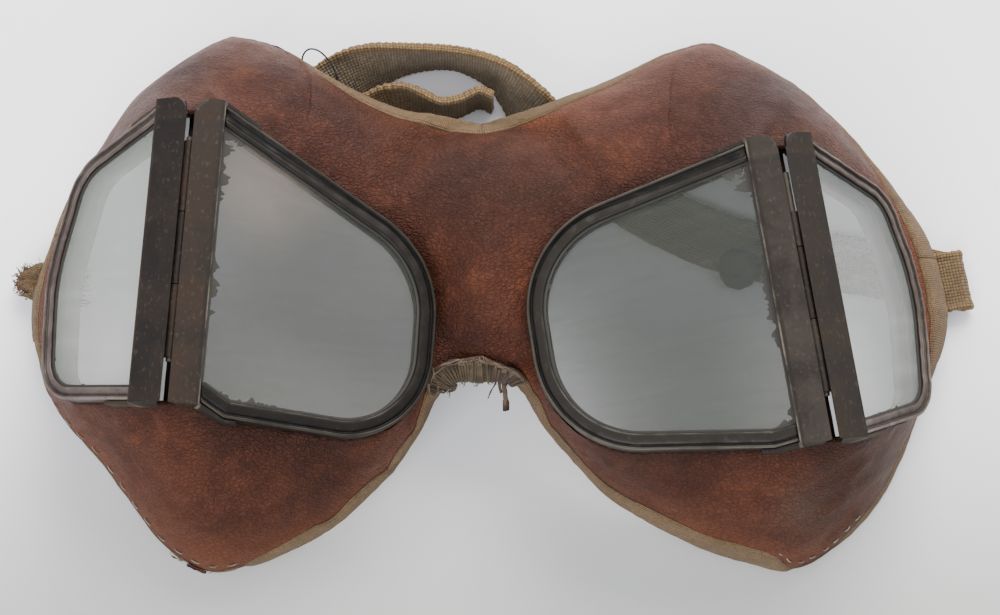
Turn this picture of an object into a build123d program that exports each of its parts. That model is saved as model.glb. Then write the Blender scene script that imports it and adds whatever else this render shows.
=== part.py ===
"""Four-pane aviator mask goggles, lying lens side up on the mask's edge.

A leather mask with a cloth lining carries one hinged metal unit for each eye: a wide front pane and
a narrow side pane, held in channel rims and joined by two upright bars with a barrel hinge. Tape
binds the mask's edge and a worn strap is sewn to one temple. Millimetres, +Z up through the lenses,
+X to the right as seen from above, the brow towards +Y.
"""

from build123d import *
from math import atan2, cos, hypot, pi, radians, sin, tan
import os

os.makedirs("parts", exist_ok=True)

# Windows: how far their hinges stand from the nose, and how far their bars reach up and down
eye_spread = 63.9
eye_skew = 5.0
bar_reach = 31.0
bar_drop = 29.2
bar_drop_skew = 0.6

# Mask: how far it reaches past the windows' hinges and bars, from the middle of the nose
temple_margin = 33.1
brow_margin = 29.0
cheek_margin = 27.8
mask_half_width = eye_spread + temple_margin
mask_brow = bar_reach + brow_margin
mask_cheek = bar_drop + cheek_margin
mask_depth = 44.5
nose_x = -3.1
nose_y = -1.6

# Mask layers
leather = 1.4
lining = 0.9
layer_gap = 0.1
leather_tuck = 1.4
steepest = 80
least_bend = 2
tape = 0.7
tape_width = 4.2
tape_under = 2.0
tape_gap = 0.4

# Metal frames and glass, measured square to each pane
sheet = 0.6
glass = 2.0
glass_gap = 0.05
seal = 0.3
front_rim_width = 3.4
side_rim_width = 2.6
rim_wall = 0.8
rim_gap = 0.15
clamp_wall = 0.8
clamp_inset = 2.0
clamp_edge = 0.9
clamp_back = 3.4
glass_hold = 2.5
seal_show = 0.5
frame_depth = 2 * sheet + glass + 2 * seal + 2 * glass_gap

# Bars and their hinge
hinge_height = 42.5
ridge_rise = 1.2
pane_ridge = hinge_height + ridge_rise
front_bar_width = 6.9
side_bar_width = 9.6
bar_end = 0.9
bar_edge_x = 0.75
bar_edge_z = 1.75
bar_waist_x = 1.6
bar_waist_z = 0.3
bar_foot_x = 1.9
bar_round = 3.2
side_bar_lift = 8.0
pin_r = 0.65
running_gap = 0.05
knuckle_r = 1.1
knuckle_length = 14.4
knuckle_gap = 0.2
knuckle_count = 3
hinge_top = 23.0
leaf = 0.6
pin_head = 0.8
worn_knuckle = 7.0
tab_length = 7.5
tab_sheet = 0.75
tab_inset = 0.4

# Strap of half-inch webbing, its torn stub, and the small pieces
strap_width = 12.7
strap = 1.6
strap_lift = 0.1
strap_drop = 4.52
stub_width = 9.5
stub_length = 15.0
stub_drop = 4.131
patch_r = 4.6
patch = 1.0
wire_r = 0.3
wire_rise = 3.0
wire_reach = 3.6
whip_count = 13
whip_thread = 0.45
whip_width = 0.6
whip_gap = 0.2
nose_tape_gap = 0.6
nose_tape_width = 5.4
nose_tape_half = 4.2

# One overrun for every cut
over = 20.0

# Each eye: which way its nose lies, where its hinge stands, how its panes slope and how they are cut.
# Pane sizes run from the ridge between the panes (reach) and up or down along the bar (v).
left_eye = {
    "nose": 1,
    "hinge_x": -(eye_spread - eye_skew),
    "hinge_y": 1.6,
    "lean": 3.7,
    "front_slope": 17.0,
    "side_slope": 37.0,
    "bar_top": bar_reach,
    "bar_bottom": -(bar_drop - bar_drop_skew),
    "front_reach": 53.0,
    "front_top": 6.2,
    "front_bottom": -33.5,
    "front_heel": -31.4,
    "front_radii": (22.0, 18.0, 2.0),
    "side_corner": (31.5, 20.5),
    "side_reach": (37.6, -2.0),
    "side_bottom": (35.5, -27.2),
    "side_radii": (12.0, 40.0, 9.0),
    "top_knuckle": knuckle_length,
    "temple_row_count": 13,
}
right_eye = {
    "nose": -1,
    "hinge_x": eye_spread,
    "hinge_y": -5.4,
    "lean": 8.9,
    "front_slope": 11.0,
    "side_slope": 43.0,
    "bar_top": bar_reach,
    "bar_bottom": -bar_drop,
    "front_reach": 55.6,
    "front_top": 21.3,
    "front_bottom": -22.5,
    "front_heel": -29.7,
    "front_radii": (22.0, 22.0, 2.0),
    "side_corner": (32.3, 21.5),
    "side_reach": (38.2, 2.0),
    "side_bottom": (33.2, -24.6),
    "side_radii": (10.0, 40.0, 9.0),
    "top_knuckle": worn_knuckle,
    "temple_row_count": 12,
}
heel_length = 5.0
eyes = {"left": left_eye, "right": right_eye}

# The mask's edge, as shares of its half width, of its reach to brow or cheek and of its depth, from
# the middle of the brow round the temple to the nose; the last value is how far the leather bulges,
# as a share of the way from rim to edge.
right_edge_shares = [
    (0.110, 0.675, 0.325, 0.10), (0.185, 0.727, 0.300, 0.12), (0.278, 0.797, 0.250, 0.13),
    (0.397, 0.917, 0.125, 0.14), (0.465, 0.967, 0.047, 0.14), (0.522, 0.987, 0.016, 0.14),
    (0.610, 0.918, 0.022, 0.14), (0.708, 0.807, 0.060, 0.13), (0.805, 0.643, 0.099, 0.12),
    (0.900, 0.437, 0.131, 0.10), (0.963, 0.280, 0.152, 0.09), (0.996, 0.150, 0.160, 0.08),
    (1.016, -0.030, 0.160, 0.08), (1.009, -0.154, 0.152, 0.08), (0.987, -0.265, 0.125, 0.09),
    (0.949, -0.432, 0.079, 0.10), (0.910, -0.598, 0.047, 0.11), (0.854, -0.763, 0.031, 0.13),
    (0.759, -0.926, 0.016, 0.14), (0.672, -1.000, 0.013, 0.14), (0.587, -0.977, 0.016, 0.14),
    (0.469, -0.918, 0.040, 0.13), (0.340, -0.814, 0.099, 0.12), (0.255, -0.725, 0.165, 0.11),
    (0.177, -0.596, 0.260, 0.09), (0.126, -0.504, 0.350, 0.08), (0.088, -0.405, 0.440, 0.07),
]
left_edge_shares = [
    (0.095, 0.652, 0.325, 0.10), (0.176, 0.680, 0.300, 0.12), (0.285, 0.765, 0.270, 0.13),
    (0.394, 0.883, 0.200, 0.14), (0.459, 0.962, 0.092, 0.14), (0.524, 1.005, 0.022, 0.14),
    (0.571, 1.010, 0.016, 0.14), (0.629, 0.960, 0.022, 0.14), (0.718, 0.845, 0.060, 0.13),
    (0.786, 0.730, 0.086, 0.12), (0.845, 0.570, 0.112, 0.11), (0.903, 0.395, 0.138, 0.10),
    (0.942, 0.220, 0.152, 0.09), (0.975, 0.030, 0.158, 0.08), (0.978, -0.105, 0.155, 0.08),
    (0.963, -0.220, 0.138, 0.09), (0.938, -0.370, 0.086, 0.10), (0.895, -0.480, 0.060, 0.11),
    (0.832, -0.595, 0.040, 0.13), (0.765, -0.745, 0.028, 0.14), (0.699, -0.890, 0.016, 0.14),
    (0.633, -0.975, 0.013, 0.14), (0.568, -1.012, 0.013, 0.14), (0.500, -0.990, 0.023, 0.13),
    (0.408, -0.932, 0.047, 0.12), (0.311, -0.847, 0.099, 0.12), (0.247, -0.760, 0.160, 0.11),
    (0.182, -0.661, 0.230, 0.10), (0.149, -0.591, 0.290, 0.09), (0.116, -0.514, 0.360, 0.08),
    (0.089, -0.425, 0.430, 0.07),
]
brow_middle_share = (0.0, 0.618, 0.330, 0.10)
nose_end_share = (0.052, -0.358, 0.500, 0.05)
nose_middle_share = (0.0, -0.360, 0.520, 0.05)
# The mask's middle line from the nose back up to the brow: reach share, depth share, bulge share
middle_shares = [
    (-0.175, 0.655, 0.04), (0.0, 0.700, 0.04), (0.167, 0.702, 0.04), (0.333, 0.640, 0.05),
    (0.500, 0.500, 0.08),
]
# Where each eye's sections fan out from, as shares of the mask's half width
fan_x_share = 0.36
fan_y_share = 0.0
fill_count = 2
strap_fill_count = 3

# The strap's way from its fold at the temple, flat under the mask, out at the brow, standing on edge
# round a loop and back under: shares of the mask's half width and of its reach to the brow, and the
# tilt off the table in degrees
strap_route_shares = [
    (0.950, 0.117, 0), (0.825, 0.150, 0), (0.700, 0.177, 0), (0.577, 0.210, 0), (0.474, 0.268, 0),
    (0.371, 0.352, 0), (0.278, 0.450, 6), (0.196, 0.550, 18), (0.139, 0.642, 32),
    (0.093, 0.733, 54), (0.036, 0.825, 75), (-0.031, 0.877, 86), (-0.093, 0.893, 88),
    (-0.180, 0.883, 78), (-0.258, 0.850, 52), (-0.320, 0.800, 24), (-0.371, 0.742, 26),
    (-0.397, 0.675, 60), (-0.371, 0.617, 100), (-0.320, 0.620, 128), (-0.258, 0.655, 145),
    (-0.216, 0.688, 142), (-0.175, 0.712, 125), (-0.130, 0.713, 102), (-0.088, 0.698, 92),
    (-0.045, 0.713, 90), (-0.005, 0.742, 90), (0.025, 0.723, 90),
]
# The sewn end of the strap inside the temple, and the fold outside it
anchor_share = (0.885, 0.042)
fold_share = (1.044, 0.088)
stub_share = (-0.935, 0.077)
patch_share = (0.565, 0.135)

nose_origin = Vector(nose_x, nose_y, 0)
stack = leather + layer_gap + lining


def across(eye):
    """Level unit vector square to the eye's bar, pointing to the nose."""
    lean = radians(eye["lean"])
    return Vector(eye["nose"] * cos(lean), -sin(lean), 0)


def along(eye):
    """Level unit vector up along the eye's bar."""
    lean = radians(eye["lean"])
    return Vector(eye["nose"] * sin(lean), cos(lean), 0)


def hinge_point(eye, v):
    """Point on the eye's hinge axis, v up the bar from its middle."""
    return nose_origin + Vector(eye["hinge_x"], eye["hinge_y"], hinge_height) + along(eye) * v


def pane_slope(eye, front):
    """Slope of a pane below level, in radians."""
    return radians(eye["front_slope"] if front else eye["side_slope"])


def pane_plane(eye, front):
    """Plane of a pane's front face: x away from the ridge, origin on the ridge."""
    slope = pane_slope(eye, front)
    away = across(eye) * (1 if front else -1)
    level = Vector(0, 0, 1)
    ridge = nose_origin + Vector(eye["hinge_x"], eye["hinge_y"], pane_ridge)
    return Plane(
        origin=ridge,
        x_dir=away * cos(slope) - level * sin(slope),
        z_dir=away * sin(slope) + level * cos(slope),
    )


def flip(eye, front):
    """Sign that turns v, measured up the bar, into the pane plane's own y."""
    return eye["nose"] if front else -eye["nose"]


def rim_points(eye, front):
    """Corners of a rim's outer edge as (u, v) with v up the bar, and their radii."""
    top, bottom = eye["bar_top"], eye["bar_bottom"]
    if front:
        reach, start = eye["front_reach"], front_bar_width
        corners = [(start, top), (reach, eye["front_top"]), (reach, eye["front_bottom"])]
        corners += [(start + heel_length, eye["front_heel"]), (start, bottom)]
        return corners, eye["front_radii"]
    start = side_bar_width
    corners = [(start, top), eye["side_corner"], eye["side_reach"], eye["side_bottom"]]
    return corners + [(start, bottom)], eye["side_radii"]


def bar_width(front):
    """Width of a bar, from the ridge to the glass."""
    return front_bar_width if front else side_bar_width


def rim_width(front):
    """Width of a rim seen from the front."""
    return front_rim_width if front else side_rim_width


def pane_face(eye, front):
    """Face inside a rim's outer edge, carried on under the bar as far as the ridge."""
    corners, radii = rim_points(eye, front)
    way = flip(eye, front)
    points = [(u, way * v) for u, v in corners]
    ends = [(0, points[-1][1]), (0, points[0][1])]
    with BuildSketch() as outline:
        with BuildLine():
            FilletPolyline(*points, radius=list(radii))
            Polyline(points[-1], *ends, points[0])
        make_face()
    return outline.sketch


def depth_plane(plane, depth):
    """The pane's plane moved back by a depth."""
    return plane.offset(-depth)


def trimmed(face, inset, start, stop=None):
    """A pane face moved in by an inset (out if negative) and kept from u = start on."""
    with BuildSketch() as piece:
        add(face)
        if inset:
            offset(amount=-inset, kind=Kind.INTERSECTION, mode=Mode.REPLACE)
        with Locations((start, 0)):
            Rectangle(8 * over, 8 * over, align=(Align.MAX, Align.CENTER), mode=Mode.SUBTRACT)
        if stop is not None:
            with Locations((stop, 0)):
                Rectangle(8 * over, 8 * over, align=(Align.MIN, Align.CENTER), mode=Mode.SUBTRACT)
    return piece.sketch


def make_rim(eye, front, name):
    """Channel rim that opens inwards, cut off square where the bar takes over."""
    plane, face = pane_plane(eye, front), pane_face(eye, front)
    start, width = bar_width(front) + running_gap, rim_width(front)
    with BuildPart() as rim:
        with BuildSketch(plane):
            add(trimmed(face, 0, start))
            add(trimmed(face, width, start - over / 2), mode=Mode.SUBTRACT)
        extrude(amount=-frame_depth)
        with BuildSketch(depth_plane(plane, sheet)):
            add(trimmed(face, rim_wall, start - over / 2))
        extrude(amount=-(frame_depth - 2 * sheet), mode=Mode.SUBTRACT)
    rim.part.label = name
    export_step(rim.part, f"parts/{name}.step")
    return rim.part


def make_glass(eye, front, name):
    """Flat pane that sits in the rim's channel and in the bar's."""
    plane, face = pane_plane(eye, front), pane_face(eye, front)
    start = bar_width(front) - glass_hold
    with BuildPart() as pane:
        with BuildSketch(depth_plane(plane, sheet + seal + glass_gap)):
            add(trimmed(face, rim_wall + 2 * glass_gap + seal, start))
        extrude(amount=-glass)
    pane.part.label = name
    export_step(pane.part, f"parts/{name}.step")
    return pane.part


def make_seal(eye, front, name):
    """Soft channel strip between the glass and its rim and bar."""
    plane, face = pane_plane(eye, front), pane_face(eye, front)
    width = bar_width(front)
    start = width - glass_hold - glass_gap - seal
    depth = glass + 2 * seal + 2 * glass_gap - 2 * running_gap
    with BuildPart() as strip:
        with BuildSketch(depth_plane(plane, sheet + running_gap)):
            add(trimmed(face, rim_wall + glass_gap, start))
            add(trimmed(face, rim_width(front) + seal_show, width + seal_show), mode=Mode.SUBTRACT)
        extrude(amount=-depth)
        with BuildSketch(depth_plane(plane, sheet + seal)):
            add(trimmed(face, rim_wall + glass_gap + seal, start + seal))
        extrude(amount=-(glass + 2 * glass_gap), mode=Mode.SUBTRACT)
    strip.part.label = name
    export_step(strip.part, f"parts/{name}.step")
    return strip.part


def make_clamp(eye, front, name):
    """Ring behind the mask: a sleeve through the eye hole and a flange that grips the lining."""
    plane, face = pane_plane(eye, front), pane_face(eye, front)
    start = bar_width(front) + clamp_back
    inner = clamp_inset + clamp_wall
    sleeve = stack + 3 * rim_gap
    with BuildPart() as ring:
        with BuildSketch(depth_plane(plane, frame_depth)):
            add(trimmed(face, clamp_inset, start))
            add(trimmed(face, inner, start - over / 2), mode=Mode.SUBTRACT)
        extrude(amount=-sleeve)
        with BuildSketch(depth_plane(plane, frame_depth + sleeve)):
            add(trimmed(face, clamp_edge, start))
            add(trimmed(face, inner, start - over / 2), mode=Mode.SUBTRACT)
        extrude(amount=-clamp_wall)
    ring.part.label = name
    export_step(ring.part, f"parts/{name}.step")
    return ring.part


def section_plane(eye, front, v):
    """Upright plane square to the bar at v: x away from the hinge axis, y up."""
    away = across(eye) * (1 if front else -1)
    return Plane(origin=hinge_point(eye, v), x_dir=away, z_dir=away.cross(Vector(0, 0, 1)))


def bar_point(eye, front, u, depth):
    """Pane point (u, depth) in the bar's section plane."""
    slope = pane_slope(eye, front)
    top = pane_ridge - hinge_height
    return (u * cos(slope) - depth * sin(slope), top - u * sin(slope) - depth * cos(slope))


def bar_section(eye, front):
    """Corners of a bar's section: its face, its glass side, its foot and its waisted hinge side."""
    width = bar_width(front)
    tilt = pane_slope(eye, front) - (0 if front else radians(side_bar_lift))
    slope = pane_slope(eye, front)
    brink = bar_point(eye, front, width, 0)
    foot_u = (bar_foot_x + frame_depth * sin(slope)) / cos(slope)
    return [
        (bar_edge_x, bar_edge_z),
        (brink[0], bar_edge_z - (brink[0] - bar_edge_x) * tan(tilt)),
        brink,
        bar_point(eye, front, width, frame_depth),
        bar_point(eye, front, foot_u, frame_depth),
        (bar_waist_x, bar_waist_z),
    ]


def make_bar(eye, front, name):
    """Folded channel bar with closed ends, its share of the hinge knuckles and its end tabs."""
    plane, face = pane_plane(eye, front), pane_face(eye, front)
    way, width = flip(eye, front), bar_width(front)
    top, bottom = eye["bar_top"] + bar_end, eye["bar_bottom"] - bar_end
    middle, half = (top + bottom) / 2, (top - bottom) / 2
    corners = bar_section(eye, front)
    knuckles = [i for i in range(knuckle_count) if (i % 2 == 0) == front]
    with BuildPart() as bar:
        with BuildSketch(section_plane(eye, front, middle)) as solid_section:
            with BuildLine():
                Polyline(*corners, close=True)
            make_face()
        extrude(amount=half, both=True)
        with BuildSketch(section_plane(eye, front, middle)):
            add(solid_section.sketch_local)
            offset(amount=-sheet, kind=Kind.INTERSECTION, mode=Mode.REPLACE)
        extrude(amount=half - sheet, both=True, mode=Mode.SUBTRACT)
        # mouth for the glass and its seal
        with BuildSketch(depth_plane(plane, sheet)):
            add(trimmed(face, rim_wall, width - 2 * sheet, width + over))
        extrude(amount=-(frame_depth - 2 * sheet), mode=Mode.SUBTRACT)
        # rounded corner at the top of the hinge side
        with BuildSketch(depth_plane(plane, -over)):
            with Locations((bar_edge_x, way * top)):
                Rectangle(2 * bar_round, 2 * bar_round)
            with Locations((bar_edge_x + bar_round, way * (top - bar_round))):
                Rectangle(over, over, mode=Mode.SUBTRACT, align=(Align.MIN, Align.CENTER))
                Rectangle(
                    over,
                    over,
                    mode=Mode.SUBTRACT,
                    align=(Align.CENTER, Align.MAX if way > 0 else Align.MIN),
                )
                Circle(bar_round, mode=Mode.SUBTRACT)
        extrude(amount=-2 * over, mode=Mode.SUBTRACT)
        # tabs bent round the rim's outer wall
        with BuildSketch(depth_plane(plane, tab_inset)):
            add(trimmed(face, -(tab_sheet + rim_gap), width - tab_sheet, width + tab_length))
            add(trimmed(face, -rim_gap, -over, width + over), mode=Mode.SUBTRACT)
        extrude(amount=-(frame_depth - 2 * tab_inset))
        # knuckles on their leaves
        for i in knuckles:
            length = eye["top_knuckle"] if i == 0 else knuckle_length
            low = hinge_top - i * (knuckle_length + knuckle_gap) - knuckle_length
            with BuildSketch(section_plane(eye, front, low + length / 2)):
                Circle(knuckle_r)
                with Locations((0, -knuckle_r)):
                    Rectangle(bar_foot_x, leaf, align=(Align.MIN, Align.MIN))
                Circle(pin_r + running_gap, mode=Mode.SUBTRACT)
            extrude(amount=length / 2, both=True)
    bar.part.label = name
    export_step(bar.part, f"parts/{name}.step")
    return bar.part


def make_pin(eye, name):
    """Plain wire pin through the knuckles, a little longer than their row."""
    row = knuckle_count * knuckle_length + (knuckle_count - 1) * knuckle_gap
    with BuildPart() as pin:
        with BuildSketch(section_plane(eye, True, hinge_top - row / 2)):
            Circle(pin_r)
        extrude(amount=row / 2 + pin_head, both=True)
    pin.part.label = name
    export_step(pin.part, f"parts/{name}.step")
    return pin.part


def rim_loop(eye):
    """Points just outside both rims of an eye, behind their backs, each with its pane's normal."""
    loop = []
    for front in (True, False):
        corners, radii = rim_points(eye, front)
        way, plane = flip(eye, front), pane_plane(eye, front)
        with BuildLine() as path:
            FilletPolyline(*[(u, way * v) for u, v in corners], radius=list(radii))
        wire = path.wires()[0]
        steps = 60
        run = []
        for i in range(steps + 1):
            point, heading = wire @ (i / steps), wire % (i / steps)
            outward = Vector(heading.Y, -heading.X) * (-way)
            spot = point + outward * 2 * rim_gap
            spot = Vector(spot.X, spot.Y, -(frame_depth + rim_gap))
            run.append((plane.from_local_coords(spot), plane.z_dir))
        run = run if front else run[::-1]
        # past the last point the loop crosses level from one bar's end to the other's
        loop += run[:-1] + [(run[-1][0], Vector(0, 0, 1))]
    return loop


def ray_hit(loop, centre, target):
    """Where the level ray from the centre towards a target crosses an eye's rim loop."""
    ray = target - centre
    best = None
    for (start, normal), (stop, _) in zip(loop, loop[1:] + loop[:1]):
        edge = stop - start
        cross = ray.X * edge.Y - ray.Y * edge.X
        if not cross:
            continue
        gap = start - centre
        reach = (gap.X * edge.Y - gap.Y * edge.X) / cross
        share = (gap.X * ray.Y - gap.Y * ray.X) / cross
        if reach > 0 and 0 <= share <= 1 and (best is None or reach > best[0]):
            best = (reach, start + edge * share, normal)
    return best[1], best[2]


def filled(rows, parts):
    """Rows with smooth ones put between them, so that each step becomes as many parts."""
    full = []
    for i in range(len(rows) - 1):
        before, start, stop = rows[max(i - 1, 0)], rows[i], rows[i + 1]
        after = rows[min(i + 2, len(rows) - 1)]
        for k in range(parts):
            t = k / parts
            row = []
            for a, b, c, d in zip(before, start, stop, after):
                bend = (2 * a - 5 * b + 4 * c - d) * t * t + (3 * b - a - 3 * c + d) * t**3
                row.append(b + ((c - a) * t + bend) / 2)
            full.append(tuple(row))
    return full + [tuple(rows[-1])]


def edge_place(x_share, y_share, z_share, side):
    """A point of the mask's edge from its shares."""
    reach = mask_brow if y_share > 0 else mask_cheek
    spot = Vector(side * x_share * mask_half_width, y_share * reach, z_share * mask_depth)
    return nose_origin + spot


def build_stations(name):
    """Sections of one half of the mask, from the brow's middle round to the nose and back up."""
    eye, side = eyes[name], -eyes[name]["nose"]
    table = left_edge_shares if name == "left" else right_edge_shares
    rows = filled([brow_middle_share] + table + [nose_end_share, nose_middle_share], fill_count)
    edge = [edge_place(*row[:3], side) for row in rows]
    centre = nose_origin + Vector(side * fan_x_share * mask_half_width, fan_y_share * mask_brow, 0)
    loop = rim_loop(eye)
    inset = tape + tape_gap
    # the mask's middle line, round the same way: from the brow's edge down the nose's edge
    line = [edge[0]] + [edge_place(0, *row[:2], side) for row in middle_shares[::-1]] + [edge[-1]]
    line[0] -= Vector(0, inset)
    line[-1] += Vector(0, inset)
    ups = [middle_up(line[max(i - 1, 0)], line[min(i + 1, len(line) - 1)]) for i in range(len(line))]
    full = []
    for i, row in enumerate(rows):
        ends = i in (0, len(rows) - 1)
        if ends:
            k = 0 if i == 0 else -1
            heading = Vector(side if i == 0 else -side, 0)
            spot, up = line[k], ups[k]
        else:
            heading = (edge[i + 1] - edge[i - 1]).normalized()
            inward = Vector(heading.Y, -heading.X).normalized() * side
            spot, up = edge[i] + inward * inset, None
            from_end = i - (len(rows) - 1 - fill_count)
            if from_end > 0:
                turn = from_end / fill_count
                up = (full[-from_end].up * (1 - turn) + ups[-1] * turn).normalized()
        rim, normal = ray_hit(loop, centre, spot)
        full.append(Station(rim, normal, spot, row[3], heading, up))
    for i in range(len(line) - 2, 0, -1):
        rim, normal = ray_hit(loop, centre, line[i])
        bulge = middle_shares[len(line) - 2 - i][2]
        full.append(Station(rim, normal, line[i], bulge, None, ups[i]))
    return full


def middle_up(before, after):
    """Normal of the mask's middle line between two of its points."""
    way = after - before
    return Vector(0, way.Z, -way.Y).normalized()


class Station:
    """One flat section through the mask, from under the rim out to the mask's edge."""

    def __init__(self, rim, rim_up, edge, bulge, heading, up):
        """Turns the section's plane until it holds the edge's own normal, then keeps its points."""
        self.rim, self.edge = rim, edge
        chord = edge - rim
        self.up = up or Vector(0, 0, 1)
        slope = atan2(-chord.Z, hypot(chord.X, chord.Y))
        bend = min(2 * atan2(2 * bulge, 1), max(radians(steepest) - slope, radians(least_bend)))
        bulge = tan(bend / 2) / 2
        for _ in range(0 if up else 3):
            mid_up = chord.cross(self.up).cross(chord).normalized()
            fall = chord.normalized() * cos(bend) - mid_up * sin(bend)
            self.up = heading.cross(fall).normalized()
            self.up *= 1 if self.up.dot(mid_up) > 0 else -1
        flank = chord.cross(self.up).normalized()
        self.mid_up = flank.cross(chord).normalized()
        self.mid = (rim + edge) * 0.5 + self.mid_up * (bulge * chord.length)
        level = flank.cross(rim_up).normalized()
        level *= 1 if level.X * chord.X + level.Y * chord.Y > 0 else -1
        self.tuck = rim - level * leather_tuck
        self.rim_up = flank.cross(level).normalized()
        self.rim_up *= 1 if self.rim_up.Z > 0 else -1
        self.lift = self.rim_up.dot(rim_up)
        if heading is not None:
            self.away = heading.cross(self.up).normalized()
            self.away *= 1 if self.away.dot(chord) > 0 else -1

    def face(self, start, stop):
        """Section face of the layer between two depths below the mask's outer surface."""
        tops, lows = [
            [
                self.tuck - self.rim_up * (depth / self.lift),
                self.rim - self.rim_up * (depth / self.lift),
                self.mid - self.mid_up * depth,
                self.edge - self.up * depth,
            ]
            for depth in (start, stop)
        ]
        with BuildLine() as outline:
            Line(tops[0], tops[1])
            ThreePointArc(tops[1], tops[2], tops[3])
            Line(tops[3], lows[3])
            ThreePointArc(lows[3], lows[2], lows[1])
            Line(lows[1], lows[0])
            Line(lows[0], tops[0])
        return Face(outline.wires()[0])

    def tape_face(self):
        """Section of the tape that wraps the edge."""
        return wrap_face(self.edge, self.away, self.up, (tape_width, tape_under), tape_gap, tape)


def wrap_face(edge, away, up, widths, gap, wall):
    """Slot section that wraps the mask's edge: its two widths inwards, a gap and a wall all round."""
    middle = edge - up * (stack / 2)
    inner, outer = stack / 2 + gap, stack / 2 + gap + wall
    top, under = widths
    corners = [
        (-top, outer), (gap + wall, outer), (gap + wall, -outer), (-under, -outer),
        (-under, -inner), (gap, -inner), (gap, inner), (-top, inner),
    ]
    with BuildLine() as outline:
        Polyline(*[middle + away * x + up * y for x, y in corners], close=True)
    return Face(outline.wires()[0])


stations = {name: build_stations(name) for name in eyes}


def make_layer(start, stop, name):
    """One layer of the mask: both halves lofted round their eye, joined along the middle."""
    with BuildPart() as layer:
        for side in eyes:
            ring = [station.face(start, stop) for station in stations[side]]
            half = len(ring) // 2
            loft(sections=ring[: half + 1], ruled=True)
            loft(sections=ring[half:] + ring[:1], ruled=True)
        split(bisect_by=Plane.XY, keep=Keep.TOP)
    layer.part.label = name
    export_step(layer.part, f"parts/{name}.step")
    return layer.part


def make_tape(sections, name):
    """One length of binding tape along a run of sections."""
    with BuildPart() as band:
        loft(sections=sections, ruled=True)
        split(bisect_by=Plane.XY, keep=Keep.TOP)
    band.part.label = name
    export_step(band.part, f"parts/{name}.step")
    return band.part


for name, eye in eyes.items():
    for front, word in ((True, "front"), (False, "side")):
        make_rim(eye, front, f"{name}_{word}_rim")
        make_glass(eye, front, f"{name}_{word}_glass")
        make_seal(eye, front, f"{name}_{word}_seal")
        make_clamp(eye, front, f"{name}_{word}_clamp_ring")
        make_bar(eye, front, f"{name}_{word}_bar")
    make_pin(eye, f"{name}_hinge_pin")

make_layer(0, leather, "leather_mask")
make_layer(leather + layer_gap, stack, "mask_lining")

# Binding tape: one length over the brow from temple to temple, one under each cheek
cuts = {side: eyes[side]["temple_row_count"] * fill_count for side in eyes}
brow_run = stations["left"][cuts["left"] : 0 : -1] + stations["right"][: cuts["right"] + 1]
make_tape([station.tape_face() for station in brow_run], "brow_binding")
nose_index = {side: len(stations[side]) - len(middle_shares) - 1 for side in eyes}
for side in eyes:
    run = stations[side][cuts[side] : nose_index[side] - fill_count + 1]
    make_tape([station.tape_face() for station in run], f"{side}_cheek_binding")


def nose_wrap(x, gap, wall):
    """Section of the nose band at x from the mask's middle, in line with the stations beside it."""
    side = "right" if x > 0 else "left"
    last = nose_index[side]
    run = [stations[side][last - i] for i in range(fill_count + 1)]
    reach = [abs(station.edge.X - nose_x) for station in run]
    k = 0
    while reach[k + 1] < abs(x):
        k += 1
    t = (abs(x) - reach[k]) / (reach[k + 1] - reach[k])
    near, far = run[k], run[k + 1]
    up = (near.up * (1 - t) + far.up * t).normalized()
    away = (Vector(0, -1, 0) + up * up.Y).normalized()
    edge = near.edge * (1 - t) + far.edge * t
    return wrap_face(edge, away, up, (nose_tape_width, tape_under), gap, wall)


# Nose binding: a wider band over the bridge's lower edge, whipped with thread
spread = [nose_tape_half * share for share in (-1, -1 / 2, 0, 1 / 2, 1)]
make_tape([nose_wrap(x, nose_tape_gap, tape) for x in spread], "nose_binding")
with BuildPart() as whipping:
    pitch = 2 * nose_tape_half / whip_count
    for i in range(whip_count):
        x = (i + 1 / 2) * pitch - nose_tape_half
        gap = nose_tape_gap + tape + whip_gap
        ends = [x - whip_width / 2, x + whip_width / 2]
        loft(sections=[nose_wrap(end, gap, whip_thread) for end in ends], ruled=True)
whipping.part.label = "nose_whipping"
export_step(whipping.part, "parts/nose_whipping.step")


def strap_spot(shares, height):
    """Point of the strap's way from its shares, at a height."""
    return nose_origin + Vector(shares[0] * mask_half_width, shares[1] * mask_brow, height)


def strap_section(centre, heading, tilt):
    """Strap section square to its heading, tilted off the table."""
    level = Vector(heading.Y, -heading.X).normalized()
    turn = radians(tilt)
    with BuildSketch(
        Plane(origin=centre, x_dir=level * cos(turn) + Vector(0, 0, sin(turn)), z_dir=heading)
    ) as section:
        Rectangle(strap_width, strap)
    return section.sketch.faces()[0]


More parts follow.
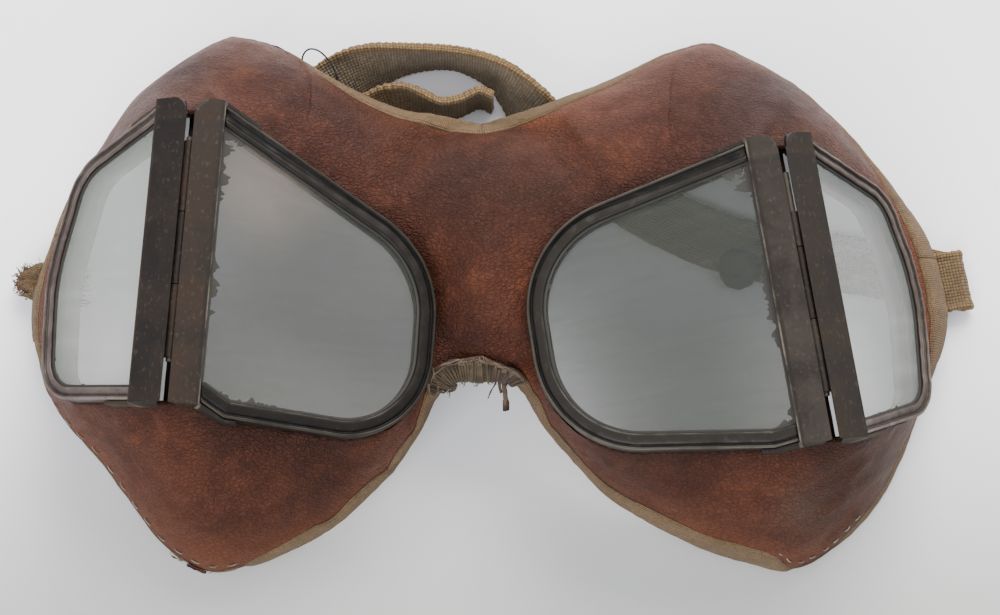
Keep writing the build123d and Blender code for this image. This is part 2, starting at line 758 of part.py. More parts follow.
def strap_sections():
    """Sections from the sewn end, round the fold and along the strap's way to its hidden end."""
    low = strap_lift + strap / 2
    temple = right_edge_shares[right_eye["temple_row_count"] - 1][2] * mask_depth
    fold_r = (temple - strap_drop) / 2
    anchor = strap_spot(anchor_share, low + 2 * fold_r)
    fold = strap_spot(fold_share, low + fold_r)
    outward = Vector(fold.X - anchor.X, fold.Y - anchor.Y).normalized()
    width_way = Vector(-outward.Y, outward.X)
    sections = []
    for share in (0, 1 / 3, 2 / 3):
        way = anchor + (Vector(fold.X, fold.Y, anchor.Z) - anchor) * share
        with BuildSketch(Plane(origin=way, x_dir=width_way, z_dir=outward)) as section:
            Rectangle(strap_width, strap)
        sections.append(section.sketch.faces()[0])
    bends = 6
    for i in range(bends + 1):
        turn = pi * i / bends
        rise = Vector(0, 0, fold_r * cos(turn))
        heading = outward * cos(turn) - Vector(0, 0, sin(turn))
        spot = fold + outward * (fold_r * sin(turn)) + rise
        with BuildSketch(Plane(origin=spot, x_dir=width_way, z_dir=heading)) as section:
            Rectangle(strap_width, strap)
        sections.append(section.sketch.faces()[0])
    spots = []
    for x_share, y_share, tilt in filled(strap_route_shares, strap_fill_count):
        turn = radians(tilt)
        half = strap_width / 2 * abs(sin(turn)) + strap / 2 * abs(cos(turn))
        spots.append((strap_spot((x_share, y_share), strap_lift + half), tilt))
    before = [fold - Vector(0, 0, fold_r)] + [spot for spot, _ in spots]
    after = [spot for spot, _ in spots[1:]] + [spots[-1][0] * 2 - spots[-2][0]]
    for (spot, tilt), back, ahead in zip(spots, before, after):
        heading = Vector(ahead.X - back.X, ahead.Y - back.Y).normalized()
        sections.append(strap_section(spot, heading, tilt))
    return sections


with BuildPart() as webbing:
    loft(sections=strap_sections(), ruled=True)
webbing.part.label = "strap"
export_step(webbing.part, "parts/strap.step")

with BuildPart() as stub:
    left_temple = left_edge_shares[left_eye["temple_row_count"] - 1][2] * mask_depth
    with BuildSketch(Plane(origin=strap_spot(stub_share, left_temple - stub_drop))):
        Rectangle(stub_length, stub_width)
    extrude(amount=strap)
stub.part.label = "strap_stub"
export_step(stub.part, "parts/strap_stub.step")

with BuildPart() as dark_patch:
    with BuildSketch(Plane(origin=strap_spot(patch_share, strap_lift + strap + running_gap))):
        Circle(patch_r)
    extrude(amount=patch)
dark_patch.part.label = "strap_patch"
export_step(dark_patch.part, "parts/strap_patch.step")

# Loose wire that springs in a loop from the brow binding
wire_from, wire_to = [stations["left"][i] for i in (4 * fill_count, 3 * fill_count + 1)]
seat = tape_gap + tape + wire_r + running_gap
ends = [station.edge + station.up * seat for station in (wire_from, wire_to)]
crown = (ends[0] + ends[1]) * 0.5 + wire_from.away * wire_reach + Vector(0, 0, wire_rise)
with BuildPart() as wire:
    with BuildLine():
        way = ThreePointArc(ends[0], crown, ends[1])
    with BuildSketch(Plane(origin=way @ 0, z_dir=way % 0)):
        Circle(wire_r)
    sweep()
wire.part.label = "loose_wire"
export_step(wire.part, "parts/loose_wire.step")
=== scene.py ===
"""Looks of the four-pane aviator goggles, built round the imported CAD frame.

Shapes are worked out in millimetres, in the part's own frame, and put into meshes in metres.
"""
from math import cos, pi, radians, sin, tan

import bpy
import numpy as np
from mathutils import Matrix, Vector
from mathutils.bvhtree import BVHTree


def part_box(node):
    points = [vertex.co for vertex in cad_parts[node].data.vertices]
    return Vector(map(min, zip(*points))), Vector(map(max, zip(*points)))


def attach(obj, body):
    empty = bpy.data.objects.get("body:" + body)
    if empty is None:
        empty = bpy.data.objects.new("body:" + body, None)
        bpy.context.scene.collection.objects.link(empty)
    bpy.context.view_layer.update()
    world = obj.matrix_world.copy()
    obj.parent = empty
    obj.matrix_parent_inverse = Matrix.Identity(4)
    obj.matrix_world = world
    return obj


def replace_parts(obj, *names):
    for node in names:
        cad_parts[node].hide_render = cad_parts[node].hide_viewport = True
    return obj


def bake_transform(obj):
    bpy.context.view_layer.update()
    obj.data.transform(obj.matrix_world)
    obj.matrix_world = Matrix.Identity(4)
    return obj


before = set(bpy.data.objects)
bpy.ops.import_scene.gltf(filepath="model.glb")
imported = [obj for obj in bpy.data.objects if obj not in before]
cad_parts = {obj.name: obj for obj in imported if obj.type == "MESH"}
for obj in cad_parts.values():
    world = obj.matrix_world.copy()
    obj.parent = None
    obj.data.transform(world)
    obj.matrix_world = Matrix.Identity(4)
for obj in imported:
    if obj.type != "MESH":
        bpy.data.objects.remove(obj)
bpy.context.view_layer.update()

# ---- Camera ----------------------------------------------------------------------------------------
# The goggles lie on a table and are seen from above, a little from the cheek side.
camera_at, camera_aim = Vector((0.0009, -0.1097, 0.5086)), Vector((0.0009, -0.0016, 0.0))
camera = bpy.data.objects.new("overhead_camera", bpy.data.cameras.new("overhead_camera"))
camera.data.lens, camera.data.sensor_width = 88.0, 36.0
camera.data.clip_start, camera.data.clip_end = 0.01, 10.0
camera.location = camera_at
camera.rotation_mode = "QUATERNION"
camera.rotation_quaternion = (camera_aim - camera_at).to_track_quat("-Z", "Y")
bpy.context.scene.collection.objects.link(camera)
bpy.context.scene.camera = camera

# ---- Glass panes -----------------------------------------------------------------------------------
# Two flat panes for each eye: an old laminated front pane gone hazy and grey green, and a clearer
# narrow side pane. They are the CAD's own plates, with haze, wiping marks and a few dark specks.
MILLIMETRE = 0.001
UP = np.array([0, 0, 1.0])
nose_point = np.array([-3.1, -1.6, 0.0])
ridge_height = 43.7
windows = {
    "left": {
        "to_nose": 1, "hinge": (-58.9, 1.6), "lean": 3.7, "slope": {"front": 17, "side": 37},
        "corners": {
            "front": [(6.9, 31), (53, 6.2), (53, -33.5), (11.9, -31.4), (6.9, -28.6)],
            "side": [(9.6, 31), (31.5, 20.5), (37.6, -2), (35.5, -27.2), (9.6, -28.6)],
        },
        "radii": {"front": (22, 18, 2), "side": (12, 40, 9)},
    },
    "right": {
        "to_nose": -1, "hinge": (63.9, -5.4), "lean": 8.9, "slope": {"front": 11, "side": 43},
        "corners": {
            "front": [(6.9, 31), (55.6, 21.3), (55.6, -22.5), (11.9, -29.7), (6.9, -29.2)],
            "side": [(9.6, 31), (32.3, 21.5), (38.2, 2), (33.2, -24.6), (9.6, -29.2)],
        },
        "radii": {"front": (22, 22, 2), "side": (10, 40, 9)},
    },
}
panes = [(side, word) for side in windows for word in ("front", "side")]


def ridge_ways(side):
    """Level unit vectors across a window's ridge, towards the nose, and along it, towards the brow."""
    lean, to_nose = radians(windows[side]["lean"]), windows[side]["to_nose"]
    return np.array([[to_nose * cos(lean), -sin(lean), 0], [to_nose * sin(lean), cos(lean), 0]])


def pane_axes(side, word):
    """Origin on the ridge between the panes, then three unit vectors as rows: away from the ridge,
    up along the bar and straight out of the glass."""
    slope = radians(windows[side]["slope"][word])
    across, along = ridge_ways(side)
    away = across if word == "front" else -across
    out = away * sin(slope) + UP * cos(slope)
    origin = nose_point + (*windows[side]["hinge"], ridge_height)
    return origin, np.array([away * cos(slope) - UP * sin(slope), along, out])


def tone(red, green, blue, part=0.56):
    """Linear colour of a swatch given in 0 to 255: the usual screen curve taken off, then times part,
    because the lamps that make the table nearly white are stronger than the swatches were judged in."""
    share = np.array([red, green, blue]) / 255
    return (*np.where(share <= 0.04045, share / 12.92, ((share + 0.055) / 1.055) ** 2.4) * part, 1.0)


class Nodes:
    """The nodes of one material or shared effect. Each call adds a node and gives its output."""

    def __init__(self, tree):
        self.tree = tree

    def join(self, value, socket):
        """Links an output to a socket, or sets a plain value on it."""
        if isinstance(value, bpy.types.NodeSocket):
            self.tree.links.new(value, socket)
        else:
            socket.default_value = value

    def node(self, kind, inputs=None, **settings):
        """One shader node: its settings, then its inputs."""
        made = self.tree.nodes.new("ShaderNode" + kind)
        for label, value in settings.items():
            setattr(made, label, value)
        for label, value in (inputs or {}).items():
            self.join(value, made.inputs[label])
        return made

    def maths(self, operation, *values, clamp=False):
        """A Math node on one to three values."""
        return self.node("Math", dict(enumerate(values)), operation=operation, use_clamp=clamp).outputs[0]

    def times(self, first, second, plus=None, clamp=False):
        """first x second, or first x second + plus."""
        if plus is None:
            return self.maths("MULTIPLY", first, second, clamp=clamp)
        return self.maths("MULTIPLY_ADD", first, second, plus, clamp=clamp)

    def span(self, value, low, high, to_low=0.0, to_high=1.0):
        """A smooth step from to_low to to_high while the value goes from low to high."""
        ends = {"Value": value, "From Min": low, "From Max": high, "To Min": to_low, "To Max": to_high}
        return self.node("MapRange", ends, interpolation_type="SMOOTHSTEP").outputs[0]

    def mixed(self, share, first, second):
        """A share of the second colour laid over the first."""
        return self.node("Mix", {0: share, 6: first, 7: second}, data_type="RGBA").outputs[2]

    def layers(self, body, *coats):
        """Coats laid over a colour in turn, each a mask, the mask's strength and a colour."""
        for mask, strength, colour in coats:
            body = self.mixed(self.times(mask, strength), body, colour)
        return body

    def clouds(self, place, scale, detail=3.0, roughness=0.5, distortion=0.0):
        """Noise over a place, with its scale in features for each metre of Object coordinates."""
        ends = {"Vector": place, "Scale": scale, "Detail": detail, "Roughness": roughness,
                "Distortion": distortion}
        return self.node("TexNoise", ends).outputs[0]

    def cells(self, place, scale, feature):
        """Distance inside the cells of a Voronoi pattern."""
        ends = {"Vector": place, "Scale": scale}
        return self.node("TexVoronoi", ends, feature=feature).outputs["Distance"]

    def mapped(self, place, **moves):
        """A place through a Mapping node."""
        return self.node("Mapping", {"Vector": place, **moves}).outputs[0]

    def axis(self, place, name):
        """One coordinate of a place."""
        return self.node("SeparateXYZ", {0: place}).outputs[name]

    def own_place(self):
        """Object coordinates: the part's own frame, in metres."""
        return self.node("TexCoord").outputs["Object"]

    def pane_place(self, side, word):
        """Object coordinates turned into a pane's own: x away from the ridge, y up its bar, z out."""
        origin, axes = pane_axes(side, word)
        # a left-handed set of axes is a turn of coordinates whose x was flipped first
        flip = 1.0 if np.linalg.det(axes) > 0 else -1.0
        turn = Matrix((axes * (flip, 1, 1)).tolist()).to_euler("XYZ")
        shift = -Vector(axes @ origin * MILLIMETRE)
        return self.mapped(self.own_place(), Rotation=turn, Scale=(flip, 1, 1), Location=shift)

    def raised(self, height, distance, **onto):
        """Normal of a surface raised by a height; distance is the real height in metres."""
        return self.node("Bump", {"Height": height, "Distance": distance, "Strength": 1.0, **onto}).outputs[0]

    def effect(self, name, **inputs):
        """A shared effect placed in this tree; gives all its outputs."""
        return self.node("Group", inputs, node_tree=bpy.data.node_groups[name]).outputs


class Finish(Nodes):
    """A material with a Principled surface, whose sockets are named with _ for a space."""

    def __init__(self, name, **plain):
        self.material = bpy.data.materials.new(name)
        self.material.use_nodes = True
        super().__init__(self.material.node_tree)
        self.feed(**plain)

    def feed(self, **values):
        """Plain values or outputs for the surface's sockets; gives the material."""
        for label, value in values.items():
            self.join(value, self.tree.nodes["Principled BSDF"].inputs[label.replace("_", " ")])
        return self.material


class Effect(Nodes):
    """A node group that several materials share: its inputs are vectors or numbers with a value to
    start from, its outputs numbers."""

    def __init__(self, name, inputs, outputs):
        super().__init__(bpy.data.node_groups.new(name, "ShaderNodeTree"))
        sockets = self.tree.interface
        for label, value in inputs.items():
            kind = "NodeSocketFloat" if isinstance(value, float) else "NodeSocketVector"
            socket = sockets.new_socket(label, in_out="INPUT", socket_type=kind)
            if value is not None:
                socket.default_value = value
        for label in outputs:
            sockets.new_socket(label, in_out="OUTPUT", socket_type="NodeSocketFloat")
        self.into = self.tree.nodes.new("NodeGroupInput").outputs
        self.out = self.tree.nodes.new("NodeGroupOutput").inputs

    def give(self, **outputs):
        """Joins outputs to the group's own."""
        for label, output in outputs.items():
            self.tree.links.new(output, self.out[label])


def coated(name, material):
    """A CAD node with its material put on."""
    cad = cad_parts[name]
    for slot in cad.material_slots:
        slot.material = material
    return cad


# haze, wiping streaks and specks of dirt on glass, from a pane's own coordinates
soiling = Effect("glass_soiling", {"Place": None, "Haze": 0.5, "Specks": 0.5}, ("Cover", "Speck", "Cloud"))
place = soiling.into["Place"]
cloud = soiling.clouds(place, 38.0, 4.0, 0.6, 0.6)
wiped = soiling.mapped(place, Rotation=(0, 0, 0.7), Scale=(1, 7, 1))
streak = soiling.span(soiling.clouds(wiped, 60.0, 5.0, 0.6), 0.45, 0.75)
grain = soiling.clouds(place, 1500.0, 2.0, 0.6)
speck = soiling.span(soiling.cells(place, 130.0, "F1"), 0.09, 0.04)
speck = soiling.times(speck, soiling.span(soiling.clouds(place, 60.0, 2.0), 0.52, 0.6))
layered = soiling.times(cloud, 0.55, soiling.times(streak, 0.28))
layered = soiling.times(grain, 0.22, layered)
soiling.give(Speck=soiling.times(speck, soiling.into["Specks"]), Cloud=cloud,
             Cover=soiling.times(layered, soiling.into["Haze"], clamp=True))

glass_looks = {
    # pane: clear tint, haze tint, haze, share of film, share that is clear right through
    ("left", "front"): (tone(58, 62, 49), tone(121, 121, 99), 0.62, 0.24, 0.45),
    ("right", "front"): (tone(44, 51, 38), tone(98, 105, 83), 0.62, 0.29, 0.45),
    ("left", "side"): (tone(206, 211, 203, 1), tone(222, 224, 216, 1), 0.36, 0.13, 0.10),
    ("right", "side"): (tone(200, 205, 199, 1), tone(216, 218, 212, 1), 0.36, 0.10, 0.10),
}
# where the painted pinkish reflection on the left front pane sits, and how far it reaches
painted_reflection_at, painted_reflection_reach = (0.016, 0.017, 0.0), 0.019
for side, word in panes:
    clear_tint, haze_tint, haze, film, clear = glass_looks[side, word]
    glass = Finish(f"{side}_{word}_glass", IOR=1.5, Roughness=0.07, Transmission_Weight=clear,
                   Coat_Weight=1.0, Coat_Roughness=0.02)
    place = glass.pane_place(side, word)
    soil = glass.effect("glass_soiling", Place=place, Haze=haze, Specks=0.9 if word == "front" else 0.4)
    body = glass.mixed(soil["Cover"], clear_tint, haze_tint)
    cover = glass.times(soil["Cover"], 0.35, film)
    if word == "front":
        # the haze is thicker towards the bar
        cover = glass.times(glass.span(glass.axis(place, "X"), 0.050, 0.006), 0.06, cover)
    if (side, word) == ("left", "front"):
        # a painted pinkish reflection near the top of the bar
        reach = glass.node("VectorMath", {0: place, 1: painted_reflection_at}, operation="DISTANCE").outputs["Value"]
        painted_reflection = glass.times(glass.span(reach, painted_reflection_reach, 0.003), soil["Cloud"])
        body = glass.layers(body, (painted_reflection, 0.9, tone(200, 176, 156)))
        cover = glass.times(painted_reflection, 0.20, cover)
    body = glass.mixed(soil["Speck"], body, tone(60, 52, 45))
    cover = glass.maths("MAXIMUM", cover, glass.times(soil["Speck"], 0.85), clamp=True)
    glass.feed(Base_Color=body, Alpha=cover, Roughness=glass.span(soil["Cloud"], 0.3, 0.8, 0.04, 0.16),
               Normal=glass.raised(glass.clouds(place, 45.0, 1.0), 0.00004))
    coated(f"{side}_{word}_glass", glass.material)

# ---- Rims ------------------------------------------------------------------------------------------
# Channel rims of thin brass sheet, patinated olive grey: a rolled bead along the outer edge, a dark
# groove beside it that gapes near the bar, and a lip sloping down on to the glass.


def smooth(value, low, high):
    """0 below low, 1 above high and an even S curve between."""
    share = np.clip((np.asarray(value, float) - low) / (high - low), 0, 1)
    return share * share * (3 - 2 * share)


def unit(vectors):
    """Vectors over their lengths."""
    return vectors / np.maximum(np.linalg.norm(vectors, axis=-1, keepdims=True), 1e-9)


def run_of(line):
    """Length run along a line at each of its points."""
    return np.concatenate([[0], np.cumsum(np.linalg.norm(np.diff(line, axis=0), axis=1))])


def along_line(line, run, at):
    """Points of a line where its run has given values."""
    return np.stack([np.interp(at, run, line[:, k]) for k in range(line.shape[1])], -1)


def spots_at(*places):
    """Points from their x, y and z, each a number or an array."""
    return np.stack(np.broadcast_arrays(*places), -1)


def pane_points(side, word, u, v, height):
    """Origin + u times away + v times up + height times out, for whole arrays of each."""
    origin, axes = pane_axes(side, word)
    return origin + spots_at(u, v, height) @ axes


def rounded_line(corners, radii, count):
    """A line through corners, each inner one turned on its radius, in even steps; points and headings."""
    corners = np.array(corners, float)
    runs = [corners[:1]]
    for before, corner, after, radius in zip(corners, corners[1:], corners[2:], radii):
        back, on = unit(before - corner), unit(after - corner)
        half = np.arccos(back @ on) / 2
        centre = corner + unit(back + on) * radius / sin(half)
        start, stop = [corner + way * radius / tan(half) - centre for way in (back, on)]
        turn, share = pi - 2 * half, np.linspace(0, 1, 40)[:, None]
        runs.append(centre + (np.sin((1 - share) * turn) * start + np.sin(share * turn) * stop) / sin(turn))
    line = np.vstack(runs + [corners[-1:]])
    length = run_of(line)
    even = np.linspace(0, length[-1], count)
    line = along_line(line, length, even)
    return line, unit(np.gradient(line, axis=0)), even


def new_piece(name, points, faces, material):
    """A smoothly shaded piece from points in millimetres and the corners of its faces."""
    mesh = bpy.data.meshes.new(name)
    mesh.from_pydata((points.reshape(-1, 3) * MILLIMETRE).tolist(), [], faces)
    mesh.shade_smooth()
    mesh.materials.append(material)
    made = bpy.data.objects.new(name, mesh)
    bpy.context.scene.collection.objects.link(made)
    return made


def surface_mesh(name, points, material, closed=(False, False), uv=None, capped=False):
    """Mesh of a grid of points in millimetres, closed along either side of the grid if asked.

    Each four neighbouring points make a face. uv holds a pair for each point, with one more row or
    column where that side closes. A tube that comes out with its inside outwards is turned round."""
    rows, columns = points.shape[:2]
    i, j = [np.arange(size - (not shut)) for size, shut in zip((rows, columns), closed)]
    a, b = [grid.ravel() for grid in np.meshgrid(i, j, indexing="ij")]
    steps = [(0, 0), (1, 0), (1, 1), (0, 1)]
    corners = np.stack([(a + di) % rows * columns + (b + dj) % columns for di, dj in steps], 1)
    outwards = True
    if closed[1]:
        one, two, three, four = points.reshape(-1, 3)[corners].transpose(1, 0, 2)
        outwards = ((one * np.cross(two, three)).sum() + (one * np.cross(three, four)).sum()) > 0
    turn = slice(None, None, 1 if outwards else -1)
    faces = corners[:, turn].tolist()
    if capped:
        faces.append(list(range(columns))[turn])
        faces.append(list(range((rows - 1) * columns, rows * columns))[::-1][turn])
    made = new_piece(name, points, faces, material)
    if uv is not None:
        pairs = np.stack([uv[a + di, b + dj] for di, dj in steps[turn]], 1).reshape(-1, 2)
        full = np.zeros((len(made.data.loops), 2), np.float32)
        full[: len(pairs)] = pairs
        made.data.uv_layers.new(name="UVMap").data.foreach_set("uv", full.ravel())
    made.data.validate()
    return made


# mottling, small flecks and drawn scratches shared by all the metals
wear = Effect("metal_wear", {"Place": None, "Along": (1.0, 1.0, 1.0)}, ("Mottle", "Fleck", "Scratch", "Height"))
place = wear.into["Place"]
fleck = wear.clouds(place, 900.0, 4.0, 0.7)
drawn = wear.node("VectorMath", {0: place, 1: wear.into["Along"]}, operation="MULTIPLY").outputs[0]
scratch = wear.clouds(drawn, 1400.0, 2.0, 0.6)
wear.give(Mottle=wear.span(wear.clouds(place, 90.0, 5.0, 0.62, 0.8), 0.35, 0.68),
          Fleck=wear.span(fleck, 0.52, 0.72), Scratch=wear.span(scratch, 0.56, 0.72),
          Height=wear.times(scratch, 0.4, fleck))


def woven_place(nodes):
    """The piece's own UV, which is in millimetres on cloth."""
    return nodes.node("UVMap", uv_map="UVMap").outputs[0]


def rim_finish(side, word, dark, light, bright, groove, lip):
    """Patina with a painted highlight and painted shade in bands along the profile: the UV's y runs from the outer
    wall over bead, groove and lip.
    """
    rim = Finish(f"{side}_{word}_rim_patina", Metallic=0.35, IOR=1.5, Specular_IOR_Level=0.2)
    wear = rim.effect("metal_wear", Place=rim.own_place(), Along=(0.4, 0.4, 1.0))
    bands = rim.node("ValToRGB", {"Fac": rim.axis(woven_place(rim), "Y")})
    # a painted highlight on the bead's crest and painted shade in the groove
    stops = [(0.0, dark), (0.16, light), (0.20, bright), (0.25, light), (0.30, dark), (0.35, groove),
             (0.47, groove), (0.55, lip), (0.66, lip), (0.70, light), (0.74, dark), (1.0, dark)]
    while len(bands.color_ramp.elements) < len(stops):
        bands.color_ramp.elements.new(0.5)
    for element, (at, colour) in zip(bands.color_ramp.elements, stops):
        element.position, element.color = at, colour
    body = rim.layers(bands.outputs[0], (wear["Mottle"], 0.45, dark), (wear["Fleck"], 0.4, tone(34, 28, 24)),
                      (wear["Scratch"], 0.18, bright))
    return rim.feed(Base_Color=body, Roughness=rim.span(wear["Mottle"], 0.0, 1.0, 0.38, 0.62),
                    Normal=rim.raised(wear["Height"], 0.00003))


rim_looks = {
    # pane: tones of the wall, the bead, the painted highlight on its crest, the groove with its painted shade and
    # the lip
    ("left", "front"): [(19, 16, 12), (32, 28, 22), (68, 61, 51), (12, 10, 8), (31, 27, 22)],
    ("right", "front"): [(30, 27, 23), (52, 48, 42), (94, 87, 77), (16, 14, 12), (46, 42, 37)],
    ("left", "side"): [(46, 37, 33), (100, 88, 82), (152, 139, 132), (88, 77, 71), (108, 96, 90)],
    ("right", "side"): [(44, 36, 31), (98, 86, 79), (152, 139, 130), (86, 75, 68), (106, 94, 87)],
}
rim_width, bar_width = {"front": 3.4, "side": 2.6}, {"front": 6.9, "side": 9.6}
rim_depth, bar_clearance, run_on = 3.9, 0.05, 6
groove_gape = {"front": 0.95, "side": 0.12}
# a side pane's pieces turn with it
pane_body = {(side, word): "mask" if word == "front" else f"{side}_side_window" for side, word in panes}
for side, word in panes:
    width, start = rim_width[word], bar_width[word] + bar_clearance
    line, heading, even = rounded_line(windows[side]["corners"][word], windows[side]["radii"][word], 320)
    total = even[-1]
    # the line carried straight on past both ends, so that every inset can be cut off on the bar's edge
    line = np.vstack([line[:1] - heading[:1] * run_on, line, line[-1:] + heading[-1:] * run_on])
    heading = np.vstack([heading[:1], heading, heading[-1:]])
    even = np.concatenate([[-run_on], even, [total + run_on]])
    inward = np.stack([heading[:, 1], -heading[:, 0]], 1)
    # profile as (inset, height, place on the colour ramp); the groove's points move as it gapes
    profile = np.array([
        (0.20, -rim_depth, 0.00),
        (0.00, -3.70, 0.02), (0.00, -2.00, 0.08), (0.00, -0.60, 0.13), (0.00, -0.22, 0.16),
        (0.07, 0.00, 0.19), (0.22, 0.14, 0.21), (0.42, 0.18, 0.23), (0.60, 0.10, 0.26), (0.72, -0.08, 0.29),
        (0.80, -0.34, 0.34), (0.92, -0.46, 0.37), (1.10, -0.42, 0.43), (1.28, -0.20, 0.50), (1.60, -0.08, 0.56),
        (width - 0.75, 0.02, 0.62), (width - 0.40, 0.04, 0.67), (width - 0.15, -0.06, 0.70),
        (width, -0.26, 0.73), (width, -0.50, 0.76), (width - 0.12, -0.63, 0.80), (0.80, -0.64, 0.84),
        (0.80, -3.26, 0.88), (width - 0.10, -3.28, 0.92), (width, -3.45, 0.94), (width, -3.75, 0.96),
        (width - 0.2, -rim_depth, 1.0),
    ])
    share = np.linspace(0, 1, 300)[:, None]
    inset, height = [np.repeat(profile[None, :, k], len(share), 0) for k in (0, 1)]
    open_by = (1 - smooth(share, 0.03, 0.30)) * groove_gape[word] * min(1.0, (width - 2.2) / 1.2)
    for k, reach in ((11, 0.35), (12, 0.85), (13, 1.0), (14, 0.8)):
        inset[:, k] += open_by[:, 0] * reach
    height[:, 13] -= open_by[:, 0] * 0.18
    height += (0.05 * np.sin(share * 61 + 2) + 0.04 * np.sin(share * 147)) * (height > -3)
    first = (start - line[1, 0] - inset[0] * inward[1, 0]) / heading[1, 0]
    last = total + (start - line[-2, 0] - inset[-1] * inward[-2, 0]) / heading[-2, 0]
    at = first + share * (last - first)
    u, v, inward_u, inward_v = np.moveaxis(along_line(np.hstack([line, inward]), even, at), -1, 0)
    points = pane_points(side, word, u + inward_u * inset, v + inward_v * inset, height)
    uv = spots_at(at / 100, profile[:, 2])
    uv = np.concatenate([uv, uv[:, :1] + np.array([0, 1.0])], 1)
    patina = rim_finish(side, word, *[tone(*swatch) for swatch in rim_looks[side, word]])
    rim = surface_mesh(f"{side}_{word}_rolled_rim", points, patina, closed=(False, True), uv=uv, capped=True)
    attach(rim, pane_body[side, word])
    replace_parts(rim, f"{side}_{word}_rim")

# ---- Bars, pins and clamp rings --------------------------------------------------------------------
# Folded sheet channels that join the panes at the ridge, lighter brown along the glass on the side bars and with a
# painted shadow along the glass on the front bars, with a barrel hinge between them. They are the CAD's own
# shapes, their folds softened by a small bevel.


def metal_finish(name, side, word, swatches, strip_at, fold_at):
    """Patina in soft blotches of a dark and a light tone. Further from the ridge than strip_at, in
    metres, it has a third tone, and the fold at fold_at has a painted highlight in places."""
    dark, light, strip = [tone(*swatch) for swatch in swatches]
    metal = Finish(name, Metallic=0.2, IOR=1.5, Specular_IOR_Level=0.2)
    place = metal.pane_place(side, word)
    wear = metal.effect("metal_wear", Place=place, Along=(1.0, 0.6, 1.0))
    away = metal.axis(place, "X")
    drift = metal.times(metal.clouds(place, 70.0, 4.0), 0.0008, away)
    from_fold = metal.maths("ABSOLUTE", metal.maths("SUBTRACT", away, fold_at))
    body = metal.layers(
        metal.mixed(wear["Mottle"], dark, light),
        (metal.span(drift, strip_at + 0.0001, strip_at + 0.0008), 0.8, strip),
        (wear["Fleck"], 0.3, tone(28, 24, 20)),
        (wear["Scratch"], 0.10, tone(140, 130, 112)),
        # painted highlight along the fold
        (metal.span(from_fold, 0.0005, 0.0001), metal.times(wear["Mottle"], 0.7), tone(150, 140, 122)),
    )
    return metal.feed(Base_Color=body, Roughness=metal.span(wear["Mottle"], 0.0, 1.0, 0.48, 0.70),
                      Normal=metal.raised(wear["Height"], 0.00003))


bar_looks = {
    # pane: dark and light tones, then the strip along the glass: lighter brown on the side bars, painted shadow of
    # the recessed edge on the front bars
    ("left", "side"): [(26, 20, 16), (41, 32, 26), (66, 54, 41)],
    ("left", "front"): [(37, 27, 19), (53, 39, 28), (28, 21, 16)],
    ("right", "front"): [(40, 34, 29), (60, 52, 44), (33, 26, 21)],
    ("right", "side"): [(32, 25, 18), (47, 38, 26), (70, 60, 45)],
}
bar_strip_and_fold = {"side": (0.0078, 0.0096), "front": (0.0058, 0.0068)}
clamp_tones = [(38, 34, 30), (66, 60, 53), (76, 69, 60)]
pin_tones = [(56, 49, 42), (94, 85, 75), (100, 92, 82)]


def soften(cad, width, segments=2):
    """Welds a CAD node's loose triangles and rounds its folds by a width in metres."""
    cad.modifiers.new("weld", "WELD").merge_threshold = 0.000002
    bevel = cad.modifiers.new("fold", "BEVEL")
    bevel.width, bevel.segments, bevel.limit_method = width, segments, "ANGLE"
    bevel.angle_limit, bevel.use_clamp_overlap = radians(28), True
    flat = cad.modifiers.new("flat_faces", "WEIGHTED_NORMAL")
    flat.mode, flat.weight = "FACE_AREA", 90


for side, word in panes:
    look = metal_finish(f"{side}_{word}_bar_patina", side, word, bar_looks[side, word], *bar_strip_and_fold[word])
    soften(coated(f"{side}_{word}_bar", look), 0.00028)
    look = metal_finish(f"{side}_{word}_clamp_patina", side, word, clamp_tones, 0.02, 0.004)
    soften(coated(f"{side}_{word}_clamp_ring", look), 0.00012, 1)
for side in windows:
    look = metal_finish(f"{side}_pin_steel", side, "front", pin_tones, 0.0, 0.001)
    soften(coated(f"{side}_hinge_pin", look), 0.00015)

# ---- Glass seals and their remains -----------------------------------------------------------------
# Strips of dark putty between glass and metal. Squeezed-out remains lie on the glass along the rim
# and the bar, broken away to a ragged edge.


def lattice_noise(points, size, seed):
    """Value noise from -1 to 1: a random number at each corner of a lattice, eased between corners."""
    spot = np.asarray(points, float) / size + seed * 7.137
    cell = np.floor(spot).astype(np.int64)
    share = spot - cell
    share = share * share * (3 - 2 * share)
    total = np.zeros(spot.shape[:-1])
    for corner in np.ndindex(*(2,) * spot.shape[-1]):
        at = cell + np.array(corner)
        mixed_up = (at * np.array([73856093, 19349663, 83492791])[: spot.shape[-1]]).sum(-1) + seed * 9176
        mixed_up = (mixed_up ^ (mixed_up >> 13)) * 1274126177 & 0x7FFFFFFF
        value = ((mixed_up ^ (mixed_up >> 15)) & 0xFFFF) / 32767.5 - 1
        total += value * np.prod(np.where(np.array(corner), share, 1 - share), -1)
    return total


def crumbly_finish(name, dark, light, grain, rough, bump, spread=None, **plain):
    """Material whose colour, roughness and height follow one noise. grain is its scale and detail,
    rough the span from noise to roughness, spread the part of the noise that the colours share."""
    made = Finish(name, **plain)
    noise = made.clouds(made.own_place(), *grain, 0.7)
    share = made.span(noise, *spread) if spread else noise
    return made.feed(Base_Color=made.mixed(share, tone(*dark), tone(*light)),
                     Roughness=made.span(noise, *rough), Normal=made.raised(noise, bump))


